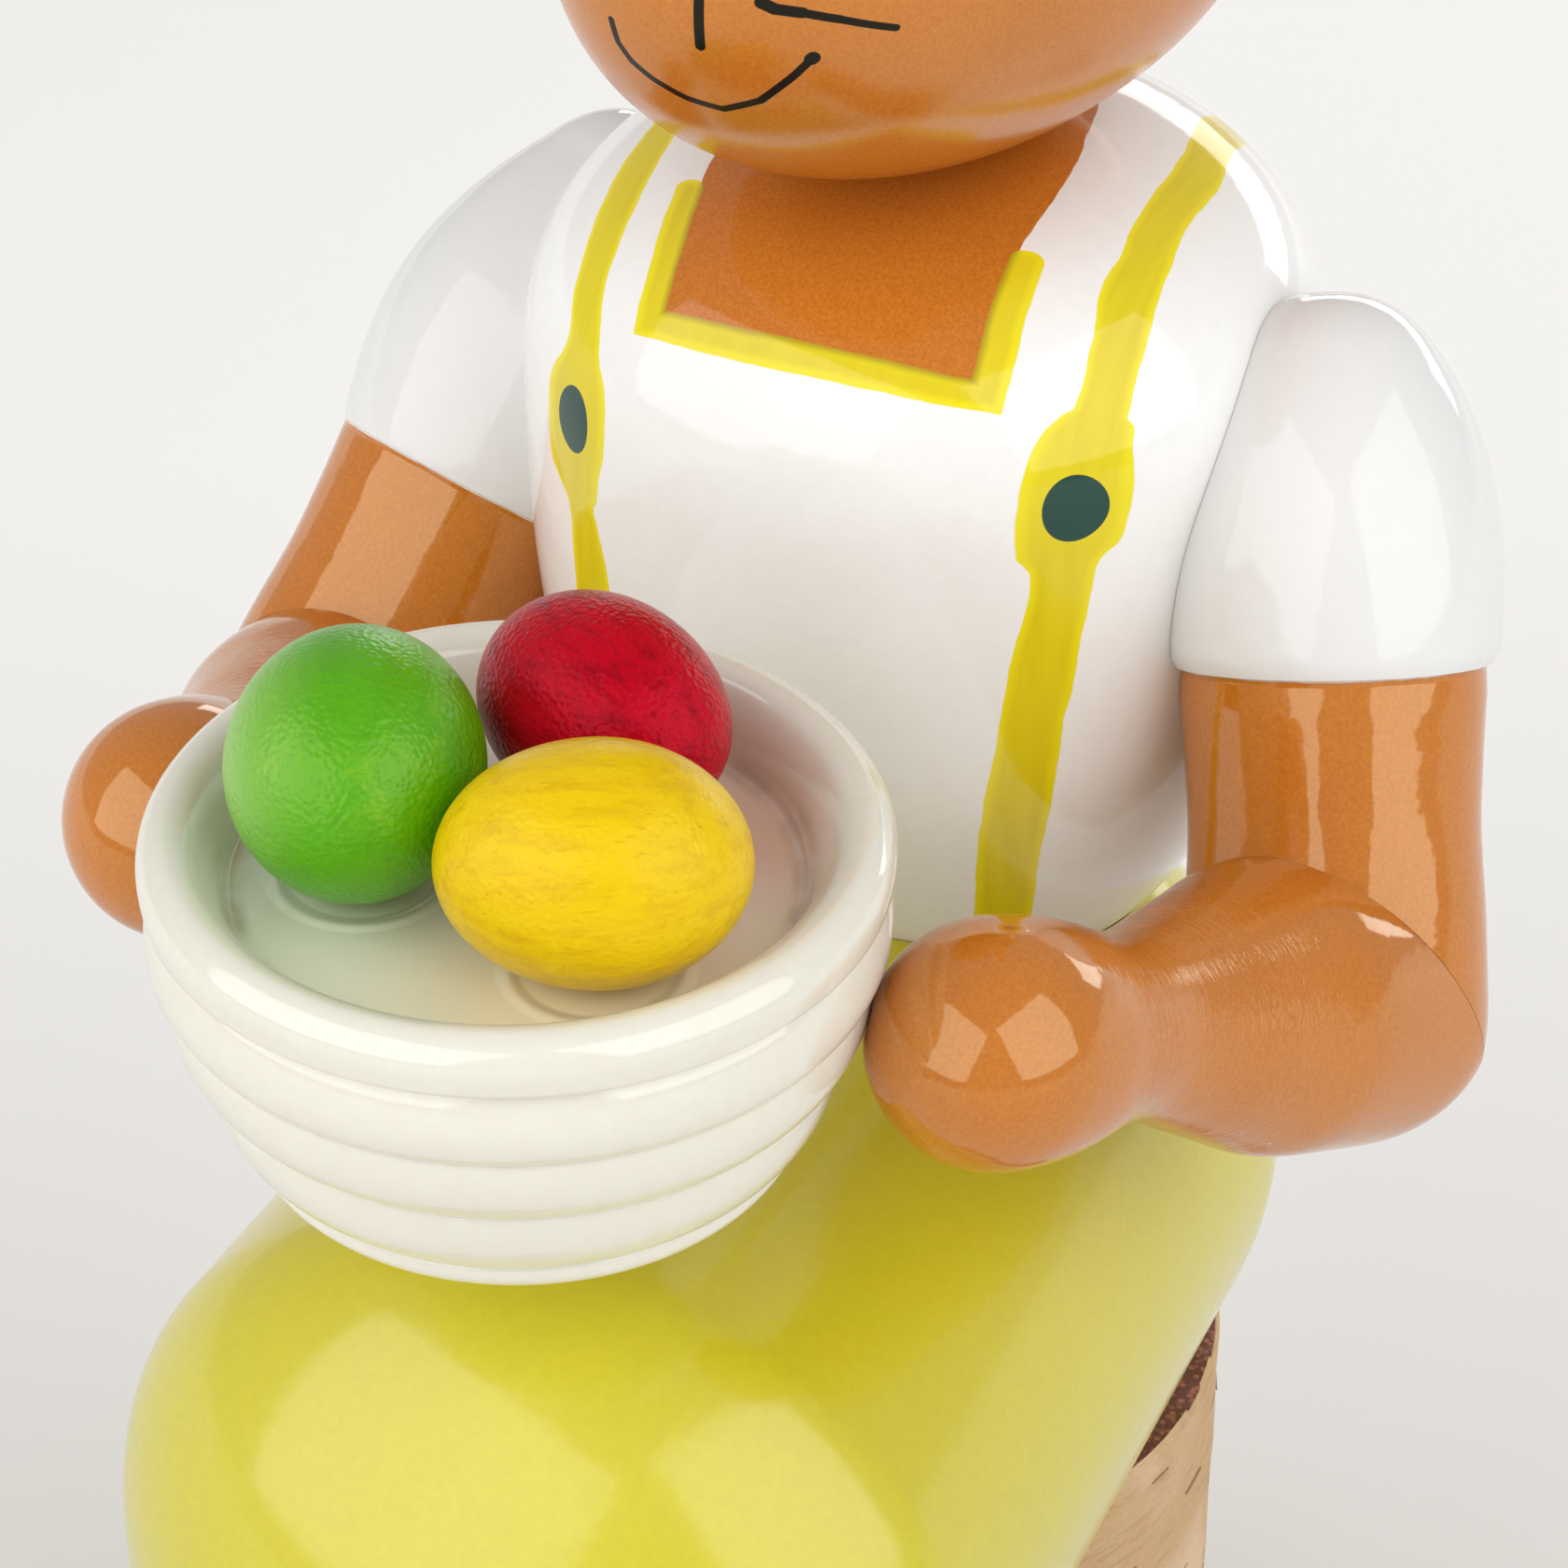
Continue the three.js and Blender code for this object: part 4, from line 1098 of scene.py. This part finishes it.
for colour_name, egg in EGGS.items():
    node_name = f"egg_{colour_name}"
    low, high = box_corners(node_name)
    heading = math.radians(egg["heading"])
    below = egg["length"] * EGG_BLUNT
    points, faces = turned(egg_outline((high.z - low.z) / 2, below, egg["length"] - below, 60), 96)
    points = moved(points, Matrix.Rotation(heading, 4, "Z") @ Matrix.Rotation(-math.pi / 2, 4, "X"))
    own_middle = Vector([(min(point[axis] for point in points) + max(point[axis] for point in points)) / 2
                         for axis in range(3)])
    middle = (low + high) / 2 - own_middle
    material = dyed_wood(f"{colour_name}_dyed_wood", egg, Euler((0, 0, heading)), middle)
    points = moved(points, Matrix.Translation(middle))
    wooden_egg = piece(f"wooden_egg_{colour_name}", points, faces, material)
    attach(wooden_egg, "root")
    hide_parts(node_name)


# Head: a long turned egg lying on the body's top, point forward, dipped in brown lacquer.
# The mouth, the line under the nose, whiskers, nose and eyes are drawn with a black pen.
HEAD = {"radius": 22.5, "front": 37, "back": 29}
HEAD_MIDDLE = Vector((0.5, 2, 124.3))
HEAD_TURN = math.radians(-8)
# The head is cut flat where it rests on the body's top
HEAD_SEAT = BODY_WIDEST + BODY_ABOVE + SEAM
PEN_BLACK = srgb(18, 12, 14)
# The pen's lines are given in millimetres across and up from the snout's tip. The face was
# drawn a little to one side of it.
FACE_MIDDLE = 3.2
SMILE_HALF = 0.31
SMILE = [(-3.76, -1.87), (-3.44, -3.43), (-2.48, -4.68), (-0.92, -5.65), (1.35, -6.69), (3.91, -7.28),
         (6.68, -6.17), (9.09, -3.97), (10.4, -2.55)]
# The whiskers of one side, thinner towards their tips, and the half widths of their parts
WHISKER_HALVES = (0.42, 0.4, 0.32, 0.3)
WHISKERS = [
    [(7.16, 1.72), (8.06, 1.3), (9.83, 1.03), (12.23, 0.41), (15.92, -0.83)],
    [(7.3, 4.2), (9.8, 4.3), (12.6, 4.3), (16.5, 3.9)],
    [(7.0, 6.4), (9.6, 7.4), (12.4, 8.2), (16.0, 8.7)],
]
# Short strokes with their half widths: the end of the smile, and the line under the nose
SHORT_STROKES = [((10.35, -2.6), (10.45, -2.5), 0.5), ((3.12, 5.2), (3.2, -1.8), 0.36)]
# The nose and the two eyes: place, half width and half height
PEN_SPOTS = [(3.2, 7.3, 3.0, 2.3), (-5.3, 19, 2.0, 3.0), (11.7, 19, 2.0, 3.0)]


def head_points(grown, steps=120, sides=160):
    radius, back, front = HEAD["radius"] + grown, HEAD["back"] + grown, HEAD["front"] + grown
    points, faces = turned(egg_outline(radius, back, front, steps), sides)
    turn = Matrix.Rotation(HEAD_TURN, 4, "Z") @ Matrix.Rotation(math.pi / 2, 4, "X")
    return seated(moved(points, Matrix.Translation(HEAD_MIDDLE) @ turn)), faces


# Lays two coordinates on the head, in millimetres across and up from the snout's tip
def lay_face(target):
    profile = []
    for number in range(901):
        angle = math.radians(number / 10)
        profile.append(Vector((HEAD["radius"] * math.sin(angle), HEAD["front"] * math.cos(angle))))
    lengths = distances(profile)
    # Each place takes its distance from the tip, measured over the surface, in its own direction
    layer = target.data.uv_layers.new(name="face")
    back_turn = Matrix.Rotation(-HEAD_TURN, 4, "Z")
    for loop in target.data.loops:
        place = back_turn @ (target.data.vertices[loop.vertex_index].co / MM - SEAT - HEAD_MIDDLE)
        off = max(math.hypot(place.x, place.z), 1e-6)
        share = min(off / HEAD["radius"], 1)
        far_off = looked_up(lengths, math.degrees(math.asin(share)) * 10)
        if place.y > 0:
            far_off = lengths[-1] * 2 - far_off
        layer.data[loop.index].uv = (place.x / off * far_off, place.z / off * far_off)


# Distance from a straight pen stroke between two places
def stroke(tree, place, start, end):
    start, end = Vector((*start, 0)), Vector((*end, 0))
    way = end - start
    off = vector_calc(tree, "SUBTRACT", place, start)
    share = vector_calc(tree, "DOT_PRODUCT", off, way / way.length_squared)
    share = node(tree, "ShaderNodeClamp", {"Value": share}).outputs[0]
    return vector_calc(tree, "DISTANCE", off, vector_calc(tree, "MULTIPLY", way, share))


head_material, tree, shader, brown = brown_lacquer("painted_head", roughness=0.2)
face = node(tree, "ShaderNodeUVMap", {}, uv_map="face").outputs[0]
pen_lines = [(first, second, SMILE_HALF) for first, second in zip(SMILE, SMILE[1:])] + SHORT_STROKES
for whisker in WHISKERS:
    for line in (whisker, [(2 * FACE_MIDDLE - x, y) for x, y in whisker]):
        pen_lines += zip(line, line[1:], WHISKER_HALVES)
strokes = [calc(tree, "SUBTRACT", stroke(tree, face, start, end), half) for start, end, half in pen_lines]
for x, y, half_width, half_height in PEN_SPOTS:
    spot = vector_calc(tree, "SUBTRACT", face, (x, y, 0))
    spot = vector_calc(tree, "MULTIPLY", spot, (1 / half_width, 1 / half_height, 0))
    past_edge = calc(tree, "SUBTRACT", vector_calc(tree, "LENGTH", spot), 1)
    strokes.append(calc(tree, "MULTIPLY", past_edge, min(half_width, half_height)))
nearest = strokes[0]
for distance in strokes[1:]:
    nearest = calc(tree, "MINIMUM", nearest, distance)
# The ink is duller than the lacquer round it
in_pen = step(tree, nearest, 0.03, -0.03)
tree.links.new(blended(tree, in_pen, brown, PEN_BLACK), shader.inputs["Base Color"])
tree.links.new(calc(tree, "MULTIPLY_ADD", in_pen, -0.7, 1.0), shader.inputs["Specular IOR Level"])
head = piece("egg_head", *head_points(0), head_material)
lay_face(head)
carved(head, ("INTERSECT", block((-100, -100, LOG_HIGH.z + HEAD_SEAT), (100, 100, 400))))
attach(head, "root")
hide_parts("head")


# Ears: long flat leaves of wood with a shallow hollow scooped in the front, lacquered like the
# head and glued into it on a slant.
EAR_LENGTH = 66
EAR_BELOW = EAR_LENGTH * 0.6
EAR_WIDTH = 17
EAR_DEPTH = 9
HOLLOW_HALF_WIDTH = EAR_WIDTH / 2 - 3
HOLLOW_DEPTH = 1.3
# How far the ears stand apart, how far back from the head's middle, and how deep in its wood
EARS_APART = 20
EARS_BACK = 4
EAR_SUNK = 5.1
EAR_SPLAY = math.radians(8)
EAR_LEAN = math.radians(9)
for side, node_name in ((1, "ear_left"), (-1, "ear_right")):
    points, faces = turned(egg_outline(EAR_WIDTH / 2, EAR_BELOW, EAR_LENGTH - EAR_BELOW, 120), 96)
    for point in points:
        point.y *= EAR_DEPTH / EAR_WIDTH
    # The scoop is a smaller leaf that lies before the ear and reaches into its front
    outline = egg_outline(HOLLOW_HALF_WIDTH, EAR_LENGTH * 0.4, EAR_LENGTH * 0.3, 72)
    scoop_points, scoop_faces = turned(outline, 72)
    for point in scoop_points:
        point.y *= (HOLLOW_DEPTH + EAR_DEPTH * 0.4) / HOLLOW_HALF_WIDTH
        point.y -= EAR_DEPTH * 0.8
        point.z += 2
    rise = HEAD["radius"] * rounded(EARS_APART / 2 / HEAD["radius"])
    stand = (Matrix.Translation(SEAT + HEAD_MIDDLE) @ Matrix.Rotation(HEAD_TURN, 4, "Z")
             @ Matrix.Translation((side * EARS_APART / 2, EARS_BACK, rise))
             @ Matrix.Rotation(side * EAR_SPLAY, 4, "Y") @ Matrix.Rotation(-EAR_LEAN, 4, "X")
             @ Matrix.Translation((0, 0, EAR_BELOW - EAR_SUNK)))
    ear = piece(f"leaf_{node_name}", moved(points, stand), faces, brown_material)
    carved(ear, ("DIFFERENCE", (moved(scoop_points, stand), scoop_faces)), ("DIFFERENCE", head_points(SEAM)),
           smooth_angle=30)
    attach(ear, "root")
    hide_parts(node_name)
